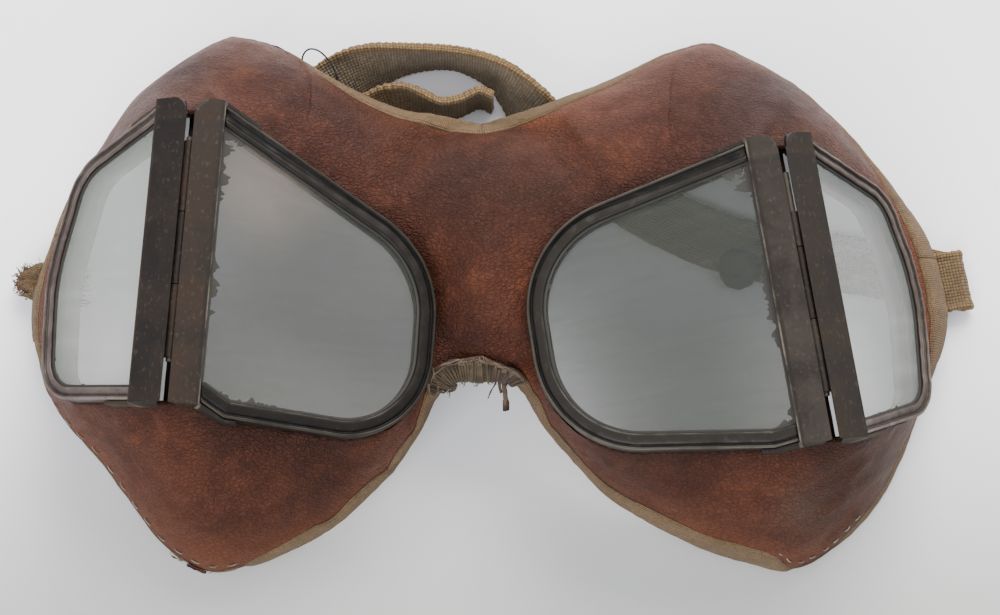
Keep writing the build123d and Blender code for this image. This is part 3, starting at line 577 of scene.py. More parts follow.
putty = crumbly_finish("dark_putty", (22, 22, 19), (74, 70, 62), (1100.0, 5.0), (0.2, 0.8, 0.7, 0.95), 0.00012,
                       IOR=1.45)
putty_floor = -0.95
ragged_spots = {
    # pane: (share of the way round, half length, reach) of the places where more of the putty is left
    ("left", "front"): [(0.02, 0.035, 1.6), (0.63, 0.05, 0.9), (0.80, 0.05, 1.2), (0.985, 0.03, 3.0),
                        (0.93, 0.03, 1.3)],
    ("right", "front"): [(0.02, 0.04, 2.0), (0.69, 0.03, 1.0), (0.83, 0.07, 1.1), (0.97, 0.02, 2.6),
                         (0.30, 0.05, 0.5)],
    ("left", "side"): [(0.02, 0.03, 0.6), (0.45, 0.12, 0.4), (0.9, 0.03, 0.5)],
    ("right", "side"): [(0.02, 0.03, 0.8), (0.86, 0.05, 1.3), (0.5, 0.1, 0.4)],
}
for side, word in panes:
    coated(f"{side}_{word}_seal", putty)
    width, start = rim_width[word], bar_width[word]
    # the clear opening's border: round the rim's inner edge, then back up along the bar
    line, heading, _ = rounded_line(windows[side]["corners"][word], windows[side]["radii"][word], 400)
    inner = line + np.stack([heading[:, 1], -heading[:, 0]], 1) * (width - 0.3)
    inner = inner[inner[:, 0] > start + 0.1]
    bar_run = np.stack([np.full(120, start - 0.1), np.linspace(inner[-1, 1], inner[0, 1], 120)], 1)
    around = np.vstack([inner, bar_run, inner[:1]])
    lengths = run_of(around)
    step = np.linspace(0, lengths[-1], 1300, endpoint=False)
    border = along_line(around, lengths, step)
    way = unit(np.roll(border, -6, 0) - np.roll(border, 6, 0))
    inside = np.stack([way[:, 1], -way[:, 0]], 1)
    share, step = step / lengths[-1], step[:, None]
    reach = 0.42 + 0.14 * lattice_noise(step, 1.7, 3) + 0.10 * lattice_noise(step, 0.5, 5)
    for at, half, more in ragged_spots[side, word]:
        near = np.minimum(abs(share - at), 1 - abs(share - at))
        lump = 0.75 + 0.75 * lattice_noise(step, 1.2, 8) + 0.45 * lattice_noise(step, 0.4, 9)
        reach = reach + more * (1 - smooth(near, 0.4 * half, half)) * np.maximum(lump, 0)
    across = np.linspace(0, 1, 7)[None, :]
    spots = border[:, None] + inside[:, None] * (np.maximum(reach, 0.15)[:, None] * across)[..., None]
    crown = 0.03 + 0.10 * np.sqrt(np.clip(1 - across ** 2, 0, 1)) * (0.7 + 0.3 * lattice_noise(spots, 0.6, 4))
    tops = pane_points(side, word, spots[..., 0], spots[..., 1], putty_floor + crown)
    remains = surface_mesh(f"{side}_{word}_putty_remains", tops, putty, closed=(True, False))
    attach(remains, pane_body[side, word])

# ---- Hinge backing ---------------------------------------------------------------------------------
# A dark strip of cloth-backed leather behind each hinge, so that no light comes in between the bars;
# its near-black colour is painted shade for the gap between them.
# It is a shallow gutter just clear of the bars' backs.
backing = crumbly_finish("dark_backing", (24, 18, 15), (58, 45, 37), (900.0, 4.0), (0.3, 0.7, 0.7, 0.95), 0.0002,
                         IOR=1.45, Specular_IOR_Level=0.25)
backing_depth, backing_thick, backing_width, backing_ends = 10.9, 0.8, (-1.8, 3.4), (-29.5, 33)
for side in windows:
    across, along = np.meshgrid(np.linspace(*backing_width, 9), np.linspace(*backing_ends, 42), indexing="ij")
    ways = ridge_ways(side)
    spots = pane_axes(side, "front")[0] + across[..., None] * ways[0] + along[..., None] * ways[1]
    dish = 0.25 * (across / 2.5) ** 2 + 0.12 * np.sin(along * 0.9 + across)
    skins = [spots + (dish - backing_depth - sunk)[..., None] * UP for sunk in (0, backing_thick)]
    strip = surface_mesh(f"{side}_hinge_backing", np.concatenate([skins[0], skins[1][::-1]], 0), backing,
                         closed=(True, False))
    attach(strip, "mask")

# ---- Leather mask ----------------------------------------------------------------------------------
# One sheet of reddish brown goatskin, formed over the nose and cut out round each window. Each half is
# a ring of sections round its eye, from under the rim to the mask's edge.
half_width, brow_reach, cheek_reach, mask_height = 97.0, 60.0, 57.0, 44.5
leather_thick = 1.4
edge_table = {
    # the mask's edge from brow to nose: shares of its half width, reach and height, then the bulge
    "right": [
        (0.110, 0.675, 0.325, 0.10), (0.185, 0.727, 0.300, 0.12), (0.278, 0.797, 0.250, 0.13),
        (0.397, 0.917, 0.125, 0.14), (0.465, 0.967, 0.047, 0.14), (0.522, 0.987, 0.016, 0.14),
        (0.610, 0.918, 0.022, 0.14), (0.708, 0.807, 0.060, 0.13), (0.805, 0.643, 0.099, 0.12),
        (0.900, 0.437, 0.131, 0.10), (0.963, 0.280, 0.152, 0.09), (0.996, 0.150, 0.160, 0.08),
        (1.016, -0.030, 0.160, 0.08), (1.009, -0.154, 0.152, 0.08), (0.987, -0.265, 0.125, 0.09),
        (0.949, -0.432, 0.079, 0.10), (0.910, -0.598, 0.047, 0.11), (0.854, -0.763, 0.031, 0.13),
        (0.759, -0.926, 0.016, 0.14), (0.672, -1.000, 0.013, 0.14), (0.587, -0.977, 0.016, 0.14),
        (0.469, -0.918, 0.040, 0.13), (0.340, -0.814, 0.099, 0.12), (0.255, -0.725, 0.165, 0.11),
        (0.177, -0.596, 0.260, 0.09), (0.126, -0.504, 0.350, 0.08), (0.088, -0.405, 0.440, 0.07),
    ],
    "left": [
        (0.095, 0.652, 0.325, 0.10), (0.176, 0.680, 0.300, 0.12), (0.285, 0.765, 0.270, 0.13),
        (0.394, 0.883, 0.200, 0.14), (0.459, 0.962, 0.092, 0.14), (0.524, 1.005, 0.022, 0.14),
        (0.571, 1.010, 0.016, 0.14), (0.629, 0.960, 0.022, 0.14), (0.718, 0.845, 0.060, 0.13),
        (0.786, 0.730, 0.086, 0.12), (0.845, 0.570, 0.112, 0.11), (0.903, 0.395, 0.138, 0.10),
        (0.942, 0.220, 0.152, 0.09), (0.975, 0.030, 0.158, 0.08), (0.978, -0.105, 0.155, 0.08),
        (0.963, -0.220, 0.138, 0.09), (0.938, -0.370, 0.086, 0.10), (0.895, -0.480, 0.060, 0.11),
        (0.832, -0.595, 0.040, 0.13), (0.765, -0.745, 0.028, 0.14), (0.699, -0.890, 0.016, 0.14),
        (0.633, -0.975, 0.013, 0.14), (0.568, -1.012, 0.013, 0.14), (0.500, -0.990, 0.023, 0.13),
        (0.408, -0.932, 0.047, 0.12), (0.311, -0.847, 0.099, 0.12), (0.247, -0.760, 0.160, 0.11),
        (0.182, -0.661, 0.230, 0.10), (0.149, -0.591, 0.290, 0.09), (0.116, -0.514, 0.360, 0.08),
        (0.089, -0.425, 0.430, 0.07),
    ],
}
brow_middle = (0.0, 0.618, 0.330, 0.10)
nose_end, nose_middle = (0.052, -0.358, 0.500, 0.05), (0.0, -0.360, 0.520, 0.05)
# the middle line from nose to brow: shares of reach and height, bulge
middle_table = [(-0.175, 0.655, 0.04), (0.0, 0.700, 0.04), (0.167, 0.702, 0.04), (0.333, 0.640, 0.05),
                (0.500, 0.500, 0.08)]
parts = 10
edge_inset, eye_centre_share = 1.1, 0.36
rim_gap, sleeve = 0.3, rim_depth + 0.15
steepest, least_bend = radians(80), radians(2)


def filled_rows(rows, count):
    """Rows with count - 1 more between each two, on the curve that passes through them all."""
    rows = np.array(rows, float)
    full = np.vstack([rows[:1], rows, rows[-1:]])[:, None]
    a, b, c, d = full[:-3], full[1:-2], full[2:-1], full[3:]
    t = (np.arange(count) / count)[None, :, None]
    between = b + ((c - a) * t + (2 * a - 5 * b + 4 * c - d) * t**2 + (3 * b - a - 3 * c + d) * t**3) / 2
    return np.vstack([between.reshape(-1, rows.shape[1]), rows[-1:]])


def eye_loop(side):
    """Closed line just outside both rims, behind their backs, with each point's pane normal."""
    points, normals = [], []
    for word, order in (("front", 1), ("side", -1)):
        line, heading, _ = rounded_line(windows[side]["corners"][word], windows[side]["radii"][word], 160)
        line = line + np.stack([-heading[:, 1], heading[:, 0]], 1) * rim_gap
        points.append(pane_points(side, word, line[:, 0], line[:, 1], -sleeve)[::order])
        normals.append(np.repeat(pane_axes(side, word)[1][2:], len(line), 0))
        normals[-1][-1] = UP
    return np.vstack(points), np.vstack(normals)


def last_crossing(points, normals, centre, targets):
    """Where the level ray from a centre to each target last crosses a closed line, and the normal there."""
    edge = np.roll(points, -1, 0) - points
    ray, gap = targets - centre, points - centre
    cross = ray[:, None, 0] * edge[None, :, 1] - ray[:, None, 1] * edge[None, :, 0]
    cross = np.where(abs(cross) < 1e-9, 1e-9, cross)
    reach = (gap[:, 0] * edge[:, 1] - gap[:, 1] * edge[:, 0])[None] / cross
    share = (gap[None, :, 0] * ray[:, None, 1] - gap[None, :, 1] * ray[:, None, 0]) / cross
    reach = np.where((share >= 0) & (share <= 1), reach, -1)
    best, row = reach.argmax(1), np.arange(len(targets))
    return points[best] + edge[best] * share[row, best][:, None], normals[best]


def facing(vectors, towards):
    """Vectors turned round where they point against others."""
    return vectors * np.where((vectors * towards).sum(1) > 0, 1, -1)[:, None]


def half_sections(side):
    """Every section of one half: its rim, edge, normals and end tangents, as arrays."""
    out = -windows[side]["to_nose"]
    rows = filled_rows([brow_middle, *edge_table[side], nose_end, nose_middle], parts)
    reach = np.where(rows[:, 1] > 0, brow_reach, cheek_reach)
    edge = nose_point + np.stack([rows[:, 0] * out * half_width, rows[:, 1] * reach, rows[:, 2] * mask_height], 1)
    heading = np.gradient(edge, axis=0)
    heading[0], heading[-1] = (out, 0, 0), (-out, 0, 0)
    heading = unit(heading)
    inward = unit(np.stack([heading[:, 1], -heading[:, 0], 0 * heading[:, 0]], 1)) * out
    spot = edge + inward * edge_inset
    # the middle line over the nose closes the ring
    middle = nose_point + np.array([
        (0, y * (brow_reach if y > 0 else cheek_reach), z * mask_height) for y, z, _ in middle_table[::-1]])
    corners = [edge[0] - (0, edge_inset, 0), *middle, edge[-1] + (0, edge_inset, 0)]
    bulges = [brow_middle[3], *[row[2] for row in middle_table[::-1]], nose_middle[3]]
    line = filled_rows(np.hstack([corners, np.array(bulges)[:, None]]), parts)
    bulge_line, line = line[:, 3], line[:, :3]
    way = np.gradient(line, axis=0)
    line_up = unit(np.stack([0 * way[:, 0], way[:, 2], -way[:, 1]], 1))
    spot[0], spot[-1] = line[0], line[-1]
    centre = nose_point + np.array([out * eye_centre_share * half_width, 0, 0])
    targets = np.vstack([spot, line[-2:0:-1]])
    bulge = np.concatenate([rows[:, 3], bulge_line[-2:0:-1]])
    rim, rim_normal = last_crossing(*eye_loop(side), centre, targets)
    count, total = len(rows), len(targets)
    heading = np.vstack([heading, np.zeros((total - count, 3))])
    chord = targets - rim
    slope = np.arctan2(-chord[:, 2], np.hypot(chord[:, 0], chord[:, 1]))
    bend = np.minimum(2 * np.arctan2(2 * bulge, 1), np.maximum(steepest - slope, least_bend))[:, None]
    up = np.tile(UP, (total, 1))
    for _ in range(4):
        mid_up = unit(np.cross(np.cross(chord, up), chord))
        fall = unit(chord) * np.cos(bend) - mid_up * np.sin(bend)
        up[:count] = facing(unit(np.cross(heading, fall)), mid_up)[:count]
    from_end = np.minimum(np.arange(count), count - 1 - np.arange(count)) / parts
    near, first_half = smooth(from_end, 0, 1)[:, None], np.arange(count)[:, None] < count / 2
    up[:count] = unit(up[:count] * near + np.where(first_half, line_up[0], line_up[-1]) * (1 - near))
    up[count:] = line_up[-2:0:-1]
    flank = unit(np.cross(chord, up))
    mid_up = unit(np.cross(flank, chord))
    level = unit(np.cross(flank, rim_normal))
    level *= np.where((level[:, :2] * chord[:, :2]).sum(1) > 0, 1, -1)[:, None]
    rim_up = unit(np.cross(flank, level))
    rim_up *= np.sign(rim_up[:, 2:])
    length = np.linalg.norm(chord, axis=1)[:, None] * bend / np.sin(bend)
    start_way, stop_way = [(unit(chord) * np.cos(bend) + sign * mid_up * np.sin(bend)) * length
                           for sign in (1, -1)]
    # 1 where a section ends at the mask's own edge, under its tape, and 0 along the middle line
    bound = np.concatenate([smooth(from_end, 0, 0.8), np.zeros(total - count)])
    return {"rim": rim, "edge": targets, "up": up, "mid_up": mid_up, "rim_up": rim_up, "level": level,
            "away": facing(unit(np.cross(heading, up)), chord), "length": length, "start_way": start_way,
            "stop_way": stop_way, "count": count, "from_end": from_end, "bound": bound}


def nose_rims(half):
    """Rim points beside the middle line, from the brow down to the nose."""
    return np.vstack([half["rim"][:1], half["rim"][:half["count"] - 2:-1]])


halves = {side: half_sections(side) for side in windows}
# over the nose both halves get one tangent along the middle line, so that the leather runs smoothly on
for side, half in halves.items():
    count, total = half["count"], len(half["edge"])
    tangent = unit(nose_rims(halves["right" if side == "left" else "left"]) - nose_rims(half))
    target = np.empty((total, 3))
    target[:count] = np.where(np.arange(count)[:, None] < count / 2, tangent[0], tangent[-1])
    target[count:] = tangent[1:-1][::-1]
    share = np.concatenate([1 - smooth(half["from_end"], 0, 1.6), np.ones(total - count)])[:, None]
    half["stop_way"] = half["stop_way"] * (1 - share) + target * half["length"] * share
    half["flat_away"] = unit(half["away"] * (1, 1, 0))

# where the leather has creased: centre x, y, reach, crease direction in degrees, depth
creases = [(68, -40, 13, 35, 0.45), (52, -44, 10, -20, 0.26), (-71, -29, 8, 80, 0.36), (-60, -42, 12, 25, 0.30),
           (80, -20, 9, 75, 0.30), (40, -42, 12, -55, 0.26), (-30, -34, 9, 40, 0.24)]


def wrinkles(points):
    """Height of the leather's unevenness: broad and small swells, and long folds at the creased places."""
    height = 0.30 * lattice_noise(points, 15, 1) + 0.12 * lattice_noise(points, 5.5, 2)
    for x, y, reach, turn, depth in creases:
        turn = radians(turn)
        dx, dy = points[..., 0] - x, points[..., 1] - y
        along, across = dx * cos(turn) + dy * sin(turn), dy * cos(turn) - dx * sin(turn)
        lines = np.stack([along / 3.2, across, points[..., 2] / 3.2], -1)
        fold = 1 - np.sqrt(lattice_noise(lines, 2.6, 11) ** 2 + 0.01) * 2
        height = height + depth * fold * np.exp(-(dx**2 + dy**2) / reach**2)
    return height


def skin(half, share, depth=0.0):
    """Points of the mask's outer surface, sunk by a depth, at shares of the way from rim to edge.

    Each section is the cubic with the rim, the edge and their two tangents; a share below 0 goes
    straight in under the rim. The depth is taken along a normal eased between rim, middle and edge."""
    part = {key: value[:, None] for key, value in half.items() if key != "count"}
    s = np.clip(share, 0, 1)[..., None]
    points = part["rim"] * (2 * s**3 - 3 * s**2 + 1) + part["start_way"] * (s**3 - 2 * s**2 + s)
    points = points + part["edge"] * (3 * s**2 - 2 * s**3) + part["stop_way"] * (s**3 - s**2)
    points = points + np.minimum(share, 0)[..., None] * part["length"] * part["level"]
    normal = part["rim_up"] * (1 - s) * (1 - 2 * s) + part["mid_up"] * 4 * s * (1 - s)
    normal = unit(normal + part["up"] * s * (2 * s - 1))
    ease = smooth(s, 0.0, 0.15) * (1 - smooth(s, 0.88, 1.0) * part["bound"][..., None])
    points = points + normal * wrinkles(points)[..., None] * ease
    return points - normal * np.asarray(depth, float)[..., None]


def shaken_place(nodes, place, scale, by):
    """A place moved about by three noises times a vector."""
    noise = nodes.node("TexNoise", {"Vector": place, "Scale": scale, "Detail": 2.0}).outputs[1]
    return nodes.node("VectorMath", {0: noise, 1: by, 2: place}, operation="MULTIPLY_ADD").outputs[0]


def painted(nodes, name):
    """A number stored for each point of the piece."""
    return nodes.node("Attribute", attribute_name=name).outputs["Fac"]


# pebble grain, its creases and hair pores, shared by the leather pieces
hide = Effect("leather_grain", {"Place": None, "Size": 900.0}, ("Height", "Crack", "Pore"))
size = hide.into["Size"]
shaken = shaken_place(hide, hide.into["Place"], 260.0, (0.0016, 0.0016, 0.0016))
pebble = hide.span(hide.cells(shaken, size, "DISTANCE_TO_EDGE"), 0.0, 0.22)
small = hide.span(hide.cells(shaken, hide.times(size, 2.3), "DISTANCE_TO_EDGE"), 0.0, 0.25)
pore = hide.clouds(hide.into["Place"], 2600.0, 2.0, 0.6)
height = hide.times(small, 0.35, hide.times(pebble, 0.65))
hide.give(Height=hide.times(pore, 0.12, height), Crack=hide.maths("SUBTRACT", 1.0, pebble), Pore=pore)

look = Finish("reddish_goatskin", IOR=1.47, Specular_IOR_Level=0.10)
place = look.own_place()
drawn = look.mapped(place, Rotation=(0, 0, 0.12), Scale=(0.78, 1.22, 1.0))
grain = look.effect("leather_grain", Place=drawn, Size=980.0)
blotch = look.clouds(place, 85.0, 5.0, 0.65, 0.9)
broad = look.span(look.clouds(place, 26.0, 5.0, 0.62, 0.5), 0.32, 0.68)
body = look.mixed(broad, tone(75, 38, 26), tone(99, 55, 36))
body = look.layers(
    body,
    (look.span(blotch, 0.42, 0.70), 0.60, tone(58, 33, 27)),
    # rust, and the lighter worn border
    (look.span(look.clouds(place, 190.0, 4.0, 0.7, 0.5), 0.50, 0.72), 0.40, tone(128, 74, 48)),
    (look.span(painted(look, "edge_share"), 0.45, 1.0), 0.50, tone(136, 78, 48)),
    # grey brown places, partly rubbed and partly a painted sheen
    (painted(look, "grey_and_sheen_share"), 0.7, tone(104, 84, 72)),
    # purplish places, and painted shade along the rims
    (painted(look, "dark_share"), 0.7, tone(48, 28, 22)),
    (grain["Crack"], 0.32, tone(40, 22, 18)),
    (look.span(grain["Pore"], 0.55, 0.75), 0.22, tone(150, 96, 70)),
)
body = look.mixed(painted(look, "cut_share"), body, tone(34, 20, 16))
fine = look.raised(grain["Height"], 0.00020)
goatskin = look.feed(Base_Color=body, Roughness=look.span(blotch, 0.25, 0.75, 0.42, 0.62),
                     Normal=look.raised(look.clouds(drawn, 210.0, 4.0, 0.6, 0.6), 0.0006, Normal=fine))

# darker, purplish places and grey brown ones, some rubbed and one a painted sheen at the upper right: x, y, reach
dark_places = [(20, 12, 11), (-38, 44, 12), (-22, 34, 12), (60, 40, 10), (-36, -38, 10), (30, -36, 12),
               (70, -42, 10), (-8, -12, 6), (2, 18, 13), (-8, 14, 12), (48, 34, 12), (-64, 44, 7), (-52, -36, 9)]
grey_and_sheen_places = [(77, -38, 9), (84, -31, 7), (74, 28, 8), (-74, 32, 8), (-88, -16, 5), (62, -48, 6)]
# how far the leather's cut border stops short of the mask's edge, by table row
bare_edge = {
    "left": ([0, 1, 2, 3, 4, 5, 7, 8, 11, 13, 14, 16, 17, 24, 25, 26, 31, 33],
             [3.3, 3.1, 2.9, 2.2, 1.8, 1.0, 0.9, 0.8, 0.9, 1.8, 2.2, 1.6, 0.3, 0.2, 1.8, 2.7, 2.7, 2.2]),
    "right": ([0, 1, 2, 4, 6, 8, 9, 10, 11, 13, 14, 15, 16, 18, 19, 20, 21, 22, 27, 28],
              [3.3, 2.7, 2.3, 2.2, 1.5, 1.6, 2.2, 3.2, 4.4, 4.8, 3.8, 2.2, 1.1, 0.9, 0.2, 0.2, 1.8, 2.5, 2.6,
               2.2]),
}
skin_steps, skived_thick, tuck_length = 72, 0.6, 1.4
drawn_back_reach, sky_height = 7.0, 80.0


def bare_width(side, rows):
    """Width of bare tape beside the leather's border at row numbers, with a slight waver."""
    rows = np.asarray(rows, float)
    return np.interp(rows / parts, *bare_edge[side]) + 0.14 * lattice_noise(rows[..., None], 5.0, 71)


def surface_tree():
    """Search tree over the outer surface of both halves."""
    points, faces = [], []
    for half in halves.values():
        grid = skin(half, np.linspace(0, 1, 100)[None, :])
        total, steps = grid.shape[:2]
        i, j = [k.ravel() for k in np.meshgrid(np.arange(total), np.arange(steps - 1), indexing="ij")]
        here, after = i * steps + j, (i + 1) % total * steps + j
        faces += (np.stack([here, after, after + 1, here + 1], 1) + len(points)).tolist()
        points += grid.reshape(-1, 3).tolist()
    return BVHTree.FromPolygons(points, faces)


leather_tree = surface_tree()


def from_above(spots, spare):
    """Place and normal of the leather's outer surface straight below each spot; where there is none,
    the spot itself and the spare normal."""
    places, normals = spots.reshape(-1, 3).copy(), np.broadcast_to(spare, spots.shape).reshape(-1, 3).copy()
    for k, (x, y, _) in enumerate(places.copy()):
        place, normal, *_ = leather_tree.ray_cast((x, y, sky_height), (0, 0, -1))
        if place is not None:
            places[k] = place
            normals[k] = normal * (1 if normal[2] > 0 else -1)
    return places.reshape(spots.shape), normals.reshape(spots.shape)


def drawn_back(side, points):
    """Points drawn back over the surface from the mask's edge, so that the leather bares the tape.

    Seen from above, a point at the edge moves by the bare width straight away from it, one further in
    than drawn_back_reach stays. Also gives each point's distance to the edge before and after."""
    half = halves[side]
    edge = half["edge"][:half["count"]]
    flat = points.reshape(-1, 3).copy()
    gaps = np.linalg.norm(flat[:, None, :2] - edge[None, :, :2], axis=2)
    near = gaps.argmin(1)
    gap = gaps[np.arange(len(flat)), near]
    shift = bare_width(side, near) * (1 - smooth(gap, 0.0, drawn_back_reach))
    moving = shift > 0.002
    spots = flat[moving] - half["flat_away"][near][moving] * shift[moving][:, None]
    flat[moving] = from_above(spots, half["up"][near][moving])[0]
    return flat.reshape(points.shape), gap.reshape(points.shape[:-1]), (gap + shift).reshape(points.shape[:-1])


def hinge_blend(made):
    """Bakes the soft piece's placement into its mesh."""
    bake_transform(made)


def paint(made, name, values):
    """Stores one number for each point of a piece, for its material to read."""
    made.data.attributes.new(name, "FLOAT", "POINT").data.foreach_set("value", values.astype(np.float32).ravel())


def shell(upper, lower, floor=-np.inf):
    """Two skins of points as one that runs out over the upper and back under the lower, all kept
    above a floor."""
    points = np.concatenate([upper, lower[:, ::-1]], 1)
    points[..., 2] = np.maximum(points[..., 2], floor)
    return points


for side, half in halves.items():
    share = np.concatenate([[-1.0], 1 - (1 - np.linspace(0, 1, skin_steps)) ** 1.6])[None, :]
    share = np.where(share < 0, -tuck_length / half["length"], share)
    outer, gap, inset = drawn_back(side, skin(half, share))
    # skived thinner where it lies over the tape
    thick = skived_thick + (leather_thick - skived_thick) * smooth(inset, 3.5, 4.5)
    points = shell(outer, outer + skin(half, share, thick) - skin(half, share), 0.02)
    leather = surface_mesh(f"{side}_leather_half", points, goatskin, closed=(True, True))
    across = np.clip(share, 0, 1)
    both = np.concatenate([across, across[:, ::-1]], 1)
    paint(leather, "edge_share", both * half["bound"][:, None])
    cut = 1 - smooth(gap, 0.02, 0.30)
    paint(leather, "cut_share", np.concatenate([cut, np.maximum(cut, 1 - smooth(gap, 0.0, 1.5))[:, ::-1]], 1))
    # painted shade along the rims: the dark share rises near them
    for name, places, darkening in (("dark_share", dark_places, 0.75), ("grey_and_sheen_share", grey_and_sheen_places, 0.0)):
        mark = sum(np.exp(-((points[..., 0] - x) ** 2 + (points[..., 1] - y) ** 2) / reach**2)
                   for x, y, reach in places)
        mark = mark * (0.75 + 0.35 * lattice_noise(points, 4, 6)) + darkening * (1 - smooth(both, 0.0, 0.14))
        paint(leather, name, np.clip(mark, 0, 1))
    hinge_blend(leather)
    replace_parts(leather, "leather_mask")

# ---- Lining ----------------------------------------------------------------------------------------
# A thin brown cotton lining behind the leather, seen from below and at the eye holes. It runs from just
# inside the rims to the mask's edge.
weave = Effect("plain_weave", {"Place": None, "Pitch": 0.6}, ("Height", "Gap", "Thread"))
wavy = weave.node("SeparateXYZ", {0: shaken_place(weave, weave.into["Place"], 0.35, (0.5, 0.5, 0.0))}).outputs
lanes = [weave.maths("DIVIDE", wavy[k], weave.into["Pitch"]) for k in (0, 1)]
humps = [weave.maths("ABSOLUTE", weave.maths("SINE", weave.times(lane, pi))) for lane in lanes]
threads_at = [weave.maths("FLOOR", lane) for lane in lanes]
over = weave.maths("ABSOLUTE", weave.maths("MODULO", weave.maths("ADD", *threads_at), 2.0))
crest, trough = [weave.times(humps[k], weave.times(humps[1 - k], 0.6, 0.4)) for k in (1, 0)]
height = weave.times(over, weave.maths("SUBTRACT", crest, trough), trough)
crossing = weave.node("CombineXYZ", dict(enumerate(threads_at))).outputs[0]
weave.give(Height=height, Gap=weave.span(height, 0.35, 0.05),
           Thread=weave.node("TexWhiteNoise", {"Vector": crossing}).outputs[0])


def cloth_finish(name, dark, light, pitch, dirt_tone, soil=0.4, bump=0.00018, back=None, fleck=None,
                 selvedge=None):
    """Woven cloth on the piece's UV, which is in millimetres, with dirt by Object coordinates.

    back gives where the UV's y passes on to the other face, and that face's two tones; selvedge gives
    half the way round a strap, the width of its borders and their two tones."""
    cloth = Finish(name, IOR=1.4, Sheen_Weight=0.05, Sheen_Roughness=0.6, Specular_IOR_Level=0.25)
    uv, place = woven_place(cloth), cloth.own_place()
    weave = cloth.effect("plain_weave", Place=uv, Pitch=pitch)
    fuzz = cloth.clouds(place, 3200.0, 3.0, 0.7)
    shade = cloth.times(weave["Thread"], 0.45, cloth.times(weave["Height"], 0.55))
    body = cloth.mixed(shade, tone(*dark), tone(*light))
    if back:
        beyond = cloth.maths("GREATER_THAN", cloth.axis(uv, "Y"), back[0])
        body = cloth.mixed(beyond, body, cloth.mixed(shade, *[tone(*swatch) for swatch in back[1:]]))
    if selvedge:
        half_way, border, *swatches = selvedge
        frayed = cloth.times(fuzz, 0.5, cloth.maths("PINGPONG", cloth.axis(uv, "Y"), half_way / 2))
        body = cloth.mixed(cloth.span(frayed, border + 0.4, border + 0.1), body,
                           cloth.mixed(shade, *[tone(*swatch) for swatch in swatches]))
    if fleck:
        body = cloth.mixed(cloth.span(cloth.clouds(place, 1700.0, 2.0, 0.6), 0.60, 0.70), body, tone(*fleck))
    darkening = cloth.span(cloth.clouds(place, 120.0, 5.0, 0.65, 0.6), 0.40, 0.72)
    body = cloth.layers(body, (weave["Gap"], 0.6, tone(*dirt_tone)), (darkening, soil, tone(*dirt_tone)),
                        (cloth.span(fuzz, 0.5, 0.8), 0.3, tone(*light)))
    return cloth.feed(Base_Color=body, Roughness=cloth.span(fuzz, 0.2, 0.8, 0.75, 0.98),
                      Normal=cloth.raised(cloth.times(fuzz, 0.35, weave["Height"]), bump))


def cloth_uv(points, closed_rows=False):
    """UV in millimetres of a grid that closes across: lengths along its middle column and first row."""
    rows = np.concatenate([points, points[:1]]) if closed_rows else points
    rows = np.concatenate([rows, rows[:, :1]], 1)
    across = np.linalg.norm(np.diff(rows, axis=1), axis=2).mean(0)
    u, v = run_of(rows[:, rows.shape[1] // 2]), np.concatenate([[0], np.cumsum(across)])
    return np.stack(np.meshgrid(u, v, indexing="ij"), -1)


cotton = cloth_finish("brown_cotton_lining", (70, 54, 42), (106, 86, 66), 0.55, (48, 36, 28))
stack_thick = 2.4
temple_row = {"left": 13, "right": 12}
lining_shown, temple_shown = 1.4, {"left": -1.2, "right": 0.8}
for side, half in halves.items():
    share = np.linspace(0, 1, 30)[None, :]
    # inside the temples more or less of it shows through the side pane
    temple_gap = (np.arange(len(half["edge"])) / parts - temple_row[side] + 0.5) / 2.4
    shown = lining_shown + temple_shown[side] * np.exp(-temple_gap**2)[:, None]
    share = share - (1 - share) * shown / half["length"]
    outer, inner = [skin(half, share, depth) for depth in (leather_thick + 0.1, stack_thick)]
    points = shell(outer, inner, 0.01)
    lining = surface_mesh(f"{side}_lining_half", points, cotton, closed=(True, True), uv=cloth_uv(points, True))
    hinge_blend(lining)
    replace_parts(lining, "mask_lining")

# ---- Edge binding ----------------------------------------------------------------------------------
# Matt khaki tape that lies under the leather's border, folds round the mask's edge and comes back under
# the lining: one length over the brow from temple to temple, one under each cheek.
khaki = cloth_finish("khaki_tape", (96, 73, 47), (148, 118, 80), 0.42, (56, 40, 27), 0.35)
tape_thick, tape_under, fold_depth = 0.5, 1.9, 2.96


